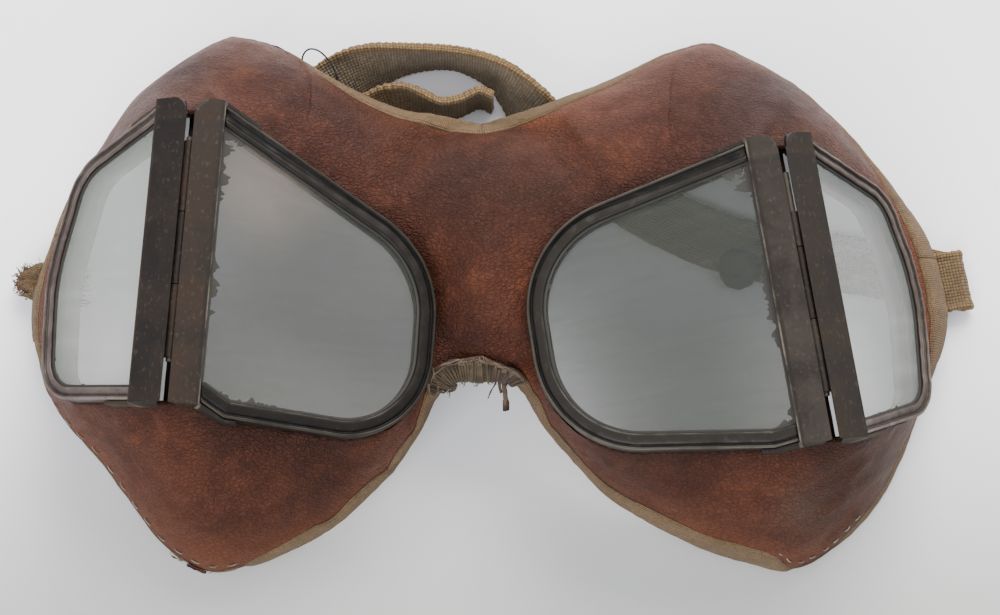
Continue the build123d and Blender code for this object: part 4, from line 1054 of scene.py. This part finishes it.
def tape_run(side, first, last, name):
    """Folded tape along rows of sections. It runs square to the edge: a top leg that starts under the
    leather and swells up beside its border, half an oval round the edge and a bottom leg. Each point
    has an outer and an inner side."""
    half = halves[side]
    rows = np.arange(first, last + 1)
    edge, up, away = [half[key][rows][:, None] for key in ("edge", "up", "away")]
    run = run_of(half["edge"][rows])[:, None, None]
    bare = bare_width(side, rows)[:, None]
    inset = np.linspace(1, 0, 10)[None, :-1] * (bare + 0.6)
    place, normal = from_above(edge - half["flat_away"][rows][:, None] * inset[..., None], up)
    turn = np.linspace(np.pi / 2, -np.pi / 2, 13)[None, :]
    under = np.linspace(0, tape_under, 5)[None, 1:]
    waver = 0.14 * lattice_noise(run, 3.0, 25) + 0.10 * lattice_noise(run, 0.9, 26)
    swell = 0.95 + 0.10 * lattice_noise(run, 1.3, 27)
    depth, start_depth = [0.65 - swell * (1 - smooth(at - bare, -0.7, 0.1)) for at in (inset, 0 * bare)]
    layers = []
    for wall in (1, 0):
        inner = tape_thick * (1 - wall)
        top = place - normal * (depth + inner)[..., None]
        reach = 0.35 + wall * (0.30 + waver + 0.35 * smooth(bare, 0, 0.8))
        rise = (fold_depth - start_depth) / 2 - inner
        oval = edge - up * ((fold_depth + start_depth) / 2)[..., None] + up * (rise * np.sin(turn))[..., None]
        oval = oval + away * (reach * np.cos(turn))[..., None]
        below = edge - away * under[..., None] - up * (fold_depth - inner + 0.03 * under**2)[..., None]
        layers.append(np.concatenate([top, oval, below], 1))
    points = shell(*layers, 0.0)
    tape = surface_mesh(name, points, khaki, closed=(False, True), uv=cloth_uv(points), capped=True)
    hinge_blend(tape)
    return tape


for side, half in halves.items():
    temple, nose_row = temple_row[side] * parts, half["count"] - 1 - parts
    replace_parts(tape_run(side, 0, temple, f"{side}_brow_tape"), "brow_binding")
    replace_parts(tape_run(side, temple, nose_row, f"{side}_cheek_tape"), f"{side}_cheek_binding")


def threads(name, lines, radii, material, sides=5, reference=(0, 0, 1), taper=0.25):
    """Many tubes at once: lines is (tubes, points, 3) in millimetres, with one radius for each tube.

    Each point gets a ring of corners square to its line; the ends draw in and are closed."""
    lines, radii = np.asarray(lines, float), np.asarray(radii, float)
    tubes, steps = lines.shape[:2]
    way = unit(np.gradient(lines, axis=1))
    level = np.cross(way, np.broadcast_to(reference, way.shape))
    spare = np.cross(way, (0.31, 0.87, 0.38))
    level = unit(np.where(np.linalg.norm(level, axis=-1, keepdims=True) < 0.15, spare, level))
    top = np.cross(level, way)
    turn = np.arange(sides) * 2 * np.pi / sides
    shape = np.ones(steps)
    shape[[0, -1]] = taper
    ring = level[:, :, None] * np.cos(turn)[:, None] + top[:, :, None] * np.sin(turn)[:, None]
    points = lines[:, :, None] + ring * (radii[:, None] * shape)[:, :, None, None]
    a, i, j = [grid.ravel() for grid in np.meshgrid(np.arange(tubes), np.arange(steps - 1), np.arange(sides),
                                                   indexing="ij")]
    corners = [(a * steps + i + di) * sides + (j + dj) % sides for di, dj in ((0, 0), (0, 1), (1, 1), (1, 0))]
    caps = (np.arange(tubes) * steps * sides)[:, None] + np.arange(sides)
    faces = np.stack(corners, 1).tolist() + caps[:, ::-1].tolist() + (caps + (steps - 1) * sides).tolist()
    return new_piece(name, points, faces, material)


def thread_finish(name, dark, light):
    """Twisted cotton thread: a change of tone along it and a fine twist by Object coordinates."""
    cotton = Finish(name, IOR=1.4, Sheen_Weight=0.08, Sheen_Roughness=0.6, Specular_IOR_Level=0.25)
    place = cotton.own_place()
    twist = cotton.clouds(place, 5200.0, 2.0, 0.6)
    along = cotton.span(cotton.clouds(place, 420.0, 3.0, 0.6), 0.3, 0.7)
    body = cotton.mixed(along, tone(*dark), tone(*light))
    body = cotton.layers(body, (cotton.span(twist, 0.45, 0.65), 0.35, tone(*dark)))
    return cotton.feed(Base_Color=body, Roughness=cotton.span(twist, 0.2, 0.8, 0.7, 0.95),
                       Normal=cotton.raised(twist, 0.00006))


fray_thread = thread_finish("khaki_fray", (84, 64, 40), (132, 106, 72))
chance = np.random.default_rng(41)
fray_count = 260
for side, half in halves.items():
    edge_run = run_of(half["edge"][:half["count"]])
    # fibres that stand off the tape's fold and off the leather's border
    at = chance.uniform(0.5, edge_run[half["count"] - 1 - parts] - 0.5, fray_count)
    rows = np.interp(at, edge_run, np.arange(len(edge_run)))
    pick = np.clip(np.round(rows).astype(int), 0, half["count"] - 1)
    on_fold = chance.random(fray_count) < 0.7
    edge, up, away = [half[key][pick] for key in ("edge", "up", "away")]
    along = unit(np.gradient(half["edge"], axis=0))[pick]
    root = edge + along * (rows - pick)[:, None] * 0.5 - up * np.where(on_fold, 1.4, 0.6)[:, None]
    root = root + away * np.where(on_fold, 0.9, -bare_width(side, pick))[:, None]
    reach = chance.uniform(0.3, 1.1, fray_count)[:, None]
    lean = away * chance.uniform(0.2, 1.0, (fray_count, 1)) + along * chance.normal(0, 0.7, (fray_count, 1))
    step = np.linspace(0, 1, 5)[None, :, None]
    curl = chance.normal(0, 0.35, (fray_count, 1, 3))
    lines = root[:, None] + (lean * reach)[:, None] * step + up[:, None] * (0.25 * np.sin(step * 2.6))
    lines = lines + curl * step**2 * reach[:, None]
    lines[..., 2] = np.maximum(lines[..., 2], 0.12)
    radii = chance.uniform(0.035, 0.07, fray_count)
    frays = threads(f"{side}_binding_frays", lines, radii, fray_thread, sides=4)
    hinge_blend(frays)

# short whitish stitches along the leather's border where it reaches the edge: side, table rows, spacing
pale_thread = thread_finish("pale_stitching", (120, 108, 92), (178, 166, 150))
stitch_shape = [(0.0, -0.25), (0.35, 0.12), (1.0, 0.22), (1.6, 0.12), (1.95, -0.25)]
for side, first, last, spacing in (("right", 18.3, 20.7, 3.2), ("left", 17.0, 24.0, 4.6)):
    half = halves[side]
    edge, every = half["edge"][:half["count"]], np.arange(half["count"])
    edge_run = run_of(edge)
    low, high = np.interp([first * parts, last * parts], every, edge_run)
    starts = np.arange(low, high, spacing)
    starts = starts + chance.uniform(-0.4, 0.4, len(starts))
    lines = []
    for ahead, lift in stitch_shape:
        rows = np.interp(starts + ahead * spacing / 3.6, edge_run, every)
        pick = np.clip(np.round(rows).astype(int), 0, half["count"] - 2)
        inset = bare_width(side, rows)[:, None] + 0.75
        spots = along_line(edge, every, rows) - half["flat_away"][pick] * inset
        place, normal = from_above(spots, half["up"][pick])
        lines.append(place + normal * lift)
    radii = np.full(len(starts), 0.15)
    stitches = threads(f"{side}_border_stitches_{int(first)}", np.stack(lines, 1), radii, pale_thread)
    hinge_blend(stitches)

# ---- Nose band -------------------------------------------------------------------------------------
# A dark tape over the bridge's lower edge, bound with close uneven turns of thread and a seam of
# crossing threads above. A loop has sprung at its left end and two broken ends hang from the right.
nose_cloth = cloth_finish("worn_nose_tape", (52, 40, 30), (92, 74, 54), 0.45, (34, 25, 19), 0.5)
band_middle, band_half, band_rows = -0.6, 7.2, 61
band_inside, band_outside, thread_off = 0.15, 0.75, 0.9
top_leg, low_leg, top_steps, turn_steps, low_steps = (-4.9, -0.3), (-0.3, -1.8), 8, 11, 4
edge_column = top_steps + 3


def nose_slot(x, offset):
    """Slot-shaped section of the band at distances x from the nose's middle: over the top, round the
    edge and back under, each off the mask's faces by an offset."""
    x = np.asarray(x, float)
    found = {}
    for side, half in halves.items():
        rows = np.arange(half["count"] - 1, half["count"] - 2 - 2 * parts, -1)
        reach = abs(half["edge"][rows, 0] - nose_point[0])
        order = np.argsort(reach)
        found[side] = [along_line(half[key][rows][order], reach[order], abs(x)) for key in ("edge", "up", "away")]
    edge, up, away = [np.where((x > 0)[:, None], right, left)
                      for right, left in zip(found["right"], found["left"])]
    up, away = unit(up), unit(away)
    middle = edge - up * (stack_thick / 2)
    turn = np.linspace(np.pi / 2, -np.pi / 2, turn_steps)
    forward = np.concatenate([np.linspace(*top_leg, top_steps), np.cos(turn) * (0.5 + offset),
                              np.linspace(*low_leg, low_steps)])
    rise = np.concatenate([np.ones(top_steps), np.sin(turn), -np.ones(low_steps)])
    rise = rise * (stack_thick / 2 + 0.15 + offset)
    return middle[:, None] + away[:, None] * forward[None, :, None] + up[:, None] * rise[None, :, None]


x = band_middle + np.linspace(-band_half, band_half, band_rows)
band = shell(nose_slot(x, band_outside), nose_slot(x, band_inside))
band[..., 1] += 0.25 * lattice_noise(band, 2.0, 31)
nose_band = surface_mesh("nose_band", band, nose_cloth, closed=(False, True), uv=cloth_uv(band), capped=True)
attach(nose_band, "mask")
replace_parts(nose_band, "nose_binding")

# turns of brown and of khaki thread, thick and thin, in runs of one colour with gaps between them
turns = 46
x = band_middle + np.linspace(-band_half - 0.2, band_half + 0.2, turns) + chance.uniform(-0.1, 0.1, turns)
thread_radii = chance.uniform(0.11, 0.27, turns)
wound = nose_slot(x, 0.86)[:, 1:-1] + np.array([0, 0.05, 0]) * chance.normal(0, 1, (turns, 1, 1))
wound[..., 0] += np.linspace(-0.18, 0.18, wound.shape[1])[None, :] * chance.uniform(-0.4, 1.6, (turns, 1))
colour_run = lattice_noise((x / 2.6)[:, None], 1.0, 33)
present = lattice_noise((x / 0.9)[:, None], 1.0, 35) <= 0.52
brown_whip = thread_finish("brown_whipping", (50, 36, 26), (92, 70, 50))
khaki_whip = thread_finish("khaki_whipping", (62, 51, 34), (100, 84, 58))
pink_whip = thread_finish("faded_whipping", (78, 60, 46), (122, 100, 80))
for name, chosen, material in (("brown", colour_run < 0.1, brown_whip), ("khaki", colour_run >= 0.1, khaki_whip)):
    chosen = chosen & present
    whipping = threads(f"nose_{name}_turns", wound[chosen], thread_radii[chosen], material, sides=7,
                       reference=(1, 0, 0))
    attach(whipping, "mask")
    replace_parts(whipping, "nose_whipping")

# seam above: long threads along the band, and short ones crossing them at a slant
seam_count = 34
x = band_middle + np.sort(chance.uniform(-band_half, band_half - 1.0, seam_count))
t = np.linspace(0, 1, 7)
lengthways = chance.random(seam_count) < 0.3
ends_x = (x[:, None] + np.where(lengthways, 2.6, chance.uniform(-0.9, 0.9, seam_count))[:, None] * t).ravel()
rise = np.where(lengthways, chance.uniform(0.3, 1.0, seam_count), 0.0)[:, None]
rise = rise + np.where(lengthways, 0.15, chance.uniform(0.9, 1.5, seam_count))[:, None] * t
rise = (rise + 0.12 * np.sin(t * 9 + x[:, None])).ravel()[:, None]
low_edge, high_edge = nose_slot(ends_x, 0.95)[:, 2], nose_slot(ends_x, 0.75)[:, 0]
seam = low_edge + (high_edge - low_edge) * rise
seam[:, 2] += 0.16 * np.sin(np.pi * np.tile(t, seam_count)) - 0.10
seam_radii = chance.uniform(0.09, 0.19, seam_count)
stitch = threads("nose_seam_threads", seam.reshape(seam_count, len(t), 3), seam_radii, pink_whip)
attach(stitch, "mask")


def on_nose(*spots):
    """Points given as (x from the nose's middle, way past the mask's edge, drop) beside the band."""
    spots = np.asarray(spots, float)
    base = nose_slot(spots[:, 0], thread_off)
    rim, top = base[:, edge_column], base[:, 0]
    inside, past = np.clip(-spots[:, 1:2], 0, None) / -top_leg[0], np.clip(spots[:, 1:2], 0, None)
    return rim + (top - rim) * inside + np.array([0, -1.0, 0]) * past - UP * spots[:, 2:]


def bundle(name, path, count, spread, radius, material):
    """Strands twisted round one path through given points, by 9 radians over its length."""
    line = filled_rows(path, 8)
    t = np.linspace(0, 1, len(line))[:, None]
    strands = []
    for turn in np.arange(count) * 2 * np.pi / count:
        twist = np.concatenate([np.cos(turn + 9 * t), 0.4 * np.sin(turn + 5 * t), np.sin(turn + 9 * t)], 1)
        strands.append(line + spread * twist)
    made = threads(name, np.stack(strands), np.full(count, radius), material, sides=6)
    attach(made, "mask")


hang = on_nose((5.0, -4.4, -0.3), (5.1, -2.2, -0.2), (5.3, 0.2, 0.0), (5.6, 2.4, 1.6), (5.8, 4.8, 3.0))
knot = hang[-1] + np.array([0, 0.4, 0.1])
second = on_nose((3.9, -4.2, -0.2), (4.0, -1.0, -0.1), (4.1, 0.6, 0.2), (4.6, 2.4, 1.4))
bent_end = on_nose((3.6, -0.5, 0.0), (3.2, 0.6, 0.3), (2.2, 1.9, 1.0), (1.6, 3.1, 1.6))
sprung = on_nose((-7.4, -4.6, -0.2), (-8.6, -3.4, -0.7), (-8.4, -1.8, -0.8), (-7.2, -2.6, -0.4),
                 (-6.6, -4.2, -0.1))
left_knot = on_nose((-7.6, -0.6, -0.2), (-6.6, 0.6, -0.3), (-5.6, 0.3, 0.0), (-6.2, 1.2, 0.2), (-7.2, 0.9, 0.1))
bundle("nose_hanging_bundle", hang, 5, 0.30, 0.22, pink_whip)
bundle("nose_bundle_knot", np.array([knot + (0, 0.9, 0.5), knot, knot - (0, 0.9, 0.4)]), 7, 0.42, 0.30, brown_whip)
bundle("nose_second_bundle", second, 3, 0.18, 0.16, pink_whip)
bundle("nose_bent_end", bent_end, 2, 0.07, 0.10, brown_whip)
bundle("nose_sprung_loop", sprung, 3, 0.12, 0.14, pink_whip)
bundle("nose_left_knot", left_knot, 5, 0.26, 0.17, khaki_whip)

# loose ends along the band, thicker about its left end and the hanging bundle
spread_out, at_left, at_right = 22, 10, 12
loose_count = spread_out + at_left + at_right
x = np.concatenate([chance.uniform(-7.6, 6.4, spread_out), chance.normal(-6.9, 0.5, at_left),
                    chance.normal(5.2, 0.6, at_right)])
root = nose_slot(x, thread_off)[:, edge_column]
step = np.linspace(0, 1, 9)[None, :, None]
drop = np.concatenate([chance.uniform(0.3, 1.2, spread_out), chance.uniform(0.6, 2.0, at_left + at_right)])
sway = chance.normal(0, 0.35, (loose_count, 1, 3)) * step
sway = sway + chance.normal(0, 0.25, (loose_count, 1, 3)) * np.sin(step * 5)
loose = root[:, None] + np.array([0, -0.75, -0.6]) * drop[:, None, None] * step + sway
ends = threads("nose_loose_ends", loose, chance.uniform(0.04, 0.08, loose_count), fray_thread, sides=4)
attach(ends, "mask")

# ---- Strap -----------------------------------------------------------------------------------------
# Half-inch knitted webbing, khaki outside and dark inside. It is sewn inside the right temple, folds
# back under the mask, lies across the eye hole and comes out over the brow in a loop stood on edge.
strap_wide, strap_thick, strap_lift, fold_radius = 12.7, 1.6, 0.1, 1.3
route = [
    # shares of the mask's half width and brow reach, tilt in degrees: 0 flat on the table, 90 on edge
    (0.950, 0.117, 0), (0.825, 0.150, 0), (0.700, 0.177, 0), (0.577, 0.210, 0), (0.474, 0.268, 0),
    (0.371, 0.352, 0), (0.278, 0.450, 6), (0.196, 0.550, 18), (0.139, 0.642, 32),
    (0.093, 0.733, 54), (0.036, 0.825, 75), (-0.031, 0.877, 86), (-0.093, 0.893, 88),
    (-0.180, 0.883, 78), (-0.258, 0.850, 52), (-0.320, 0.800, 24), (-0.371, 0.742, 26),
    (-0.397, 0.675, 60), (-0.371, 0.617, 100), (-0.320, 0.620, 128), (-0.258, 0.655, 145),
    (-0.216, 0.688, 142), (-0.175, 0.712, 125), (-0.130, 0.713, 102), (-0.088, 0.698, 92),
    (-0.045, 0.713, 90), (-0.005, 0.742, 90), (0.025, 0.723, 90),
]
mask_reach = np.array([half_width, brow_reach, 0])
anchor, fold = [nose_point + mask_reach * spot for spot in ((0.885, 0.042, 0), (1.044, 0.088, 0))]
low = strap_lift + strap_thick / 2
outward = unit(fold - anchor)
sideways = np.array([-outward[1], outward[0], 0])
straight_steps, fold_steps, section_steps = 44, 16, 56
share = np.linspace(0, 1, straight_steps, endpoint=False)[:, None]
turn = np.linspace(0, np.pi, fold_steps)[:, None]
rows = filled_rows(route, 24)
tilt = np.radians(rows[:, 2])
stand = strap_wide / 2 * abs(np.sin(tilt)) + strap_thick / 2 * abs(np.cos(tilt))
lying = nose_point + np.stack([rows[:, 0] * half_width, rows[:, 1] * brow_reach, strap_lift + stand], 1)
lying_way = unit(np.gradient(lying, axis=0) * np.array([1, 1, 0]))
turned = unit(np.stack([lying_way[:, 1], -lying_way[:, 0], 0 * tilt], 1))
turned = turned * np.cos(tilt)[:, None] + UP * np.sin(tilt)[:, None]
# the straight run from the seam, the fold at the temple, then the run back under the mask
centres = np.vstack([
    anchor + (fold - anchor) * share + np.array([0, 0, low + 2 * fold_radius]),
    fold + UP * (low + fold_radius) + outward * fold_radius * np.sin(turn) + UP * fold_radius * np.cos(turn),
    lying,
])
headings = np.vstack([np.repeat(outward[None], straight_steps, 0), outward * np.cos(turn) - UP * np.sin(turn),
                      lying_way])
side_ways = np.vstack([np.repeat(sideways[None], straight_steps + fold_steps, 0), turned])
faces_out = unit(np.cross(side_ways, headings))
# flat section with round, thicker selvedges that are ribbed across; its first half is the dark face
ring = np.linspace(0, 2 * np.pi, section_steps, endpoint=False)
wide, thick = [np.sign(way) * np.abs(way) ** 0.42 * size / 2
               for way, size in ((np.cos(ring), strap_wide), (np.sin(ring), strap_thick))]
border = smooth(abs(wide), 4.5, 5.7)
thick = thick * (0.80 + 0.62 * border)
run = run_of(centres)[:, None]
ripple = 1 + 0.012 * lattice_noise(run, 3.0, 51) + 0.006 * lattice_noise(run, 0.9, 52)
rib_phase = 2 * np.pi * run[:, 0] / 1.35 + 1.5 * lattice_noise(run, 4.0, 53)
rib = (0.5 * np.sin(rib_phase) + 0.5 * lattice_noise(run, 0.7, 54))[:, None]
# a lengthwise row of knitted ridges on both faces
ridge = 0.05 * np.cos(2 * np.pi * wide / 1.6) * (1 - border)
deep = thick * (1 + 0.14 * rib * border) + np.sign(thick) * ridge
out_by = wide * ripple[:, None] + np.sign(wide) * 0.17 * rib * smooth(abs(wide), 5.6, 6.3)
strap_points = centres[:, None] + side_ways[:, None] * out_by[..., None] + faces_out[:, None] * deep[..., None]
strap_points[..., 2] = np.maximum(strap_points[..., 2], 0.05)
uv = cloth_uv(strap_points)
half_round = float(uv[0, section_steps // 2, 1])
webbing = cloth_finish("knitted_webbing", (122, 106, 84), (178, 160, 132), 0.66, (70, 58, 46), 0.3, 0.00024,
                       back=(half_round, (94, 72, 46), (146, 118, 80)), fleck=(136, 118, 90),
                       selvedge=(half_round, 1.7, (106, 80, 50), (174, 140, 94)))
strap = surface_mesh("webbing_strap", strap_points, webbing, closed=(False, True), uv=uv, capped=True)
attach(strap, "mask")
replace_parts(strap, "strap")

# ---- Torn strap stub -------------------------------------------------------------------------------
# What is left of the strap on the left temple has worn to a tangle of khaki and red fibres. Its torn
# end is folded over on itself: a ridge across it, with the cloth's own folds along it.
stub_x, stub_y, stub_z = nose_point + (-0.935 * half_width, 0.077 * brow_reach, 3.8)
stub_outer, stub_inner, stub_half_width = 7.3, 5.8, 4.6
u, v = np.meshgrid(np.linspace(-1, 1, 40), np.linspace(-1, 1, 26), indexing="ij")
torn = 1 - 0.28 * v**2 + 0.16 * lattice_noise(np.stack([v * 4, 0 * v], -1), 0.5, 61)
x = stub_x + u * np.where(u < 0, stub_outer * torn, stub_inner)
y = stub_y + v * stub_half_width * (1 - 0.30 * smooth(-u, 0.2, 1.0))
y = y + 0.4 * lattice_noise(np.stack([u * 5, v * 2], -1), 1.0, 62)
lump = 0.35 * lattice_noise(np.stack([x, y], -1), 1.6, 63)
folded = smooth(-u, 0.05, 0.35) * (1 - 0.5 * smooth(-u, 0.75, 1.0))
bulk = np.sqrt(np.clip(1 - 0.9 * np.maximum(u**6, v**6), 0, 1))
pleats = 1.5 * abs(lattice_noise(np.stack([x * 0.5 + y, y * 0.5 - x], -1), 2.1, 64))
skins = [np.stack([x, y, stub_z + lump + bulk * (0.6 + folded * (0.6 + pleats)) * way], -1) for way in (1, -0.9)]
torn_cloth = cloth_finish("torn_webbing", (92, 70, 42), (150, 122, 80), 0.5, (64, 46, 32), 0.5, 0.0003,
                          fleck=(134, 84, 70))
stub_points = shell(*skins)
stub = surface_mesh("torn_strap_stub", stub_points, torn_cloth, closed=(False, True), uv=cloth_uv(stub_points),
                    capped=True)
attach(stub, "mask")
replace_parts(stub, "strap_stub")
red_fibre = thread_finish("red_fibre", (96, 40, 34), (142, 74, 62))
fibre_floor, fibre_top, fibre_limit = 0.3, 6.2, -104.5
for name, count, material in (("stub_khaki_fibres", 300, fray_thread), ("stub_red_fibres", 70, red_fibre)):
    inner = chance.random(count) < 0.4
    at_u = np.where(inner, chance.integers(33, 40, count), (chance.random(count) ** 2 * 16).astype(int))
    at_v = chance.integers(8, 14, count) if material == red_fibre else chance.integers(0, 26, count)
    root = skins[0][at_u, at_v] - UP * chance.uniform(0.1, 1.2, (count, 1))
    heading = np.stack([np.where(inner, 1.0, -0.55) + chance.normal(0, 0.5, count), chance.normal(0, 0.8, count),
                        chance.normal(0.0, 0.25, count)], 1)
    reach = np.where(inner, chance.uniform(0.8, 3.2, count), chance.uniform(0.5, 1.7, count))[:, None]
    step = np.linspace(0, 1, 8)[None, :, None]
    curl = chance.normal(0, 0.45, (count, 1, 3)) * np.sin(step * chance.uniform(2, 6, (count, 1, 1)))
    lines = root[:, None] + unit(heading)[:, None] * reach[:, None] * step + curl * step
    lines[..., 2] = np.clip(lines[..., 2], fibre_floor, fibre_top)
    lines[..., 0] = np.maximum(lines[..., 0], fibre_limit)
    fibres = threads(name, lines, chance.uniform(0.05, 0.11, count), material, sides=4)
    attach(fibres, "mask")

# ---- Torn scraps -----------------------------------------------------------------------------------
# A torn scrap of leather and one of pale padding at the left cheek's point, and a dark red shred by
# the stub: flattened balls, pulled out of shape.
pale_scrap = crumbly_finish("pale_padding", (150, 138, 120), (222, 214, 200), (1800.0, 4.0), (0.3, 0.7, 0.8, 0.98),
                            0.0002, IOR=1.4, Sheen_Weight=0.2)
red_scrap = crumbly_finish("dark_red_shred", (60, 26, 24), (112, 56, 52), (1500.0, 4.0), (0.3, 0.7, 0.7, 0.95),
                           0.0002, IOR=1.4, Specular_IOR_Level=0.3)
scraps = [
    # name, table row, how far past the edge, half sizes, material, slot
    ("torn_leather_scrap", 22.3, 0.6, (2.2, 1.5), goatskin, "mask_leather"),
    ("pale_padding_scrap", 21.6, 0.9, (1.5, 0.9), pale_scrap, "lining_cloth"),
    ("dark_red_shred", 15.3, 0.7, (0.8, 1.4), red_scrap, "thread"),
]
turn, lift = np.meshgrid(np.linspace(0, 2 * np.pi, 26, endpoint=False), np.linspace(-1.45, 1.45, 12),
                         indexing="ij")
for name, row, past, size, material, slot in scraps:
    half, spot = halves["left"], int(row * parts)
    centre = half["edge"][spot] + half["away"][spot] * past
    along = unit(half["edge"][spot + 1] - half["edge"][spot - 1])
    wide, tall = np.cos(lift) * np.cos(turn) * size[0], np.cos(lift) * np.sin(turn) * size[1]
    body = centre + along * wide[..., None] + half["away"][spot] * tall[..., None]
    body = body + UP * (0.45 * np.sin(lift) + 0.3)[..., None]
    body = body + 0.35 * np.stack([lattice_noise(body, 0.8, seed) for seed in (81, 82, 83)], -1)
    body[..., 2] = np.maximum(body[..., 2], 0.03)
    scrap = surface_mesh(name, body.transpose(1, 0, 2), material, closed=(False, True), capped=True)
    if material == goatskin:
        for mark, value in (("edge_share", 0.2), ("dark_share", 0.1), ("grey_and_sheen_share", 0.0), ("cut_share", 0.0)):
            paint(scrap, mark, np.full(len(scrap.data.vertices), value))
    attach(scrap, "mask")

# ---- Dark disc of painted shadow -------------------------------------------------------------------
# A dark disc grained like leather, which lies on the strap in the right eye hole: its near-black colour is
# painted shadow where the strap's end folds over. It is a low disc with a pressed line round it.
shadow_disc_centre, shadow_disc_radius = nose_point + (0.565 * half_width, 0.135 * brow_reach, 1.75), 4.5
look = Finish("painted_shadow_disc", IOR=1.47)
place = look.own_place()
grain = look.effect("leather_grain", Place=place, Size=1500.0)
body = look.mixed(look.clouds(place, 260.0, 4.0, 0.6), tone(34, 26, 22), tone(82, 64, 52))
look.feed(Base_Color=look.layers(body, (grain["Crack"], 0.5, tone(20, 15, 13))),
          Roughness=look.span(grain["Pore"], 0.3, 0.7, 0.5, 0.8), Normal=look.raised(grain["Height"], 0.00012))
angle, radius = np.meshgrid(np.linspace(0, 2 * np.pi, 72, endpoint=False), np.linspace(0.02, 1, 14), indexing="ij")
wide = shadow_disc_radius * (1 + 0.04 * np.sin(3 * angle + 1) + 0.02 * np.sin(11 * angle)) * radius
crown = 0.95 * np.sqrt(np.clip(1 - radius**4, 0, 1)) - 0.28 * np.exp(-((radius - 0.78) / 0.06) ** 2)
skins = [shadow_disc_centre + np.stack([wide * np.cos(angle), wide * np.sin(angle), height], -1)
         for height in (0.04 + np.maximum(crown, 0.0), 0 * radius)]
patch = surface_mesh("round_painted_shadow", shell(*skins), look.material, closed=(True, True))
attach(patch, "mask")
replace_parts(patch, "strap_patch")

# ---- Sprung wire -----------------------------------------------------------------------------------
# A bit of thin dark wire that springs in a loop from the brow. Its heights are counted from the lowest
# point of the CAD's own wire.
wire_height = float(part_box("loose_wire")[0][2]) / MILLIMETRE
wire_path = [(-41.4, 50.0, 0.4), (-41.1, 50.9, 1.8), (-40.3, 51.6, 3.2), (-39.1, 51.8, 4.0), (-37.4, 51.2, 4.2),
             (-35.6, 49.6, 3.6), (-34.2, 47.4, 2.6), (-33.4, 44.8, 1.2)]
wire_line = filled_rows(np.array(wire_path) + (0, 0, wire_height), 5)
dark_wire = crumbly_finish("dark_wire", (40, 42, 48), (78, 74, 76), (2200.0, 4.0), (0.3, 0.7, 0.35, 0.7), 0.00003,
                           spread=(0.4, 0.7), Metallic=0.7)
wire = threads("sprung_wire", wire_line[None], [0.2], dark_wire, sides=10, taper=0.5)
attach(wire, "mask")
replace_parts(wire, "loose_wire")

# ---- Table and light -------------------------------------------------------------------------------
# A pale matt table top, one broad soft lamp over the brow side to the right, and a weak one opposite.
# An even pale sky gives the rest of the light.
paper = Finish("pale_table", Specular_IOR_Level=0.2)
place = paper.own_place()
fibre = paper.clouds(place, 500.0, 3.0, 0.6)
wash = paper.span(paper.clouds(place, 3.0, 1.0), 0.3, 0.7)
body = paper.mixed(wash, tone(240, 240, 244, 1), tone(245, 244, 246, 1))
# painted shade: darker towards the cheek side
body = paper.mixed(paper.span(paper.axis(place, "Y"), 0.03, -0.085), body, tone(160, 160, 156, 1))
paper.feed(Base_Color=paper.layers(body, (fibre, 0.04, tone(214, 212, 210, 1))),
           Roughness=paper.span(fibre, 0.2, 0.8, 0.6, 0.75))
table_reach, table_level = 1500.0, -0.03
corners = [[(x, y, table_level) for y in (-table_reach, table_reach)] for x in (-table_reach, table_reach)]
table = surface_mesh("table_top", np.array(corners), paper.material)


def lamp(name, place, power, colour, size=0.9):
    """A square soft lamp, size in metres, aimed at the middle of the table."""
    made = bpy.data.objects.new(name, bpy.data.lights.new(name, "AREA"))
    made.data.size, made.data.energy, made.data.color = size, power, colour
    made.location = place
    made.rotation_mode = "QUATERNION"
    made.rotation_quaternion = (-Vector(place)).to_track_quat("-Z", "Y")
    bpy.context.scene.collection.objects.link(made)


lamp("window_lamp", (0.25, 1.0, 0.9), 45.0, (1.0, 0.98, 0.96))
lamp("fill_lamp", (-0.45, -0.95, 0.7), 20.0, (0.97, 0.98, 1.0))
sky = bpy.data.worlds.new("studio_sky")
bpy.context.scene.world = sky
sky.use_nodes = True
sky.node_tree.nodes["Background"].inputs["Color"].default_value = (0.92, 0.94, 1.0, 1.0)
sky.node_tree.nodes["Background"].inputs["Strength"].default_value = 1.48
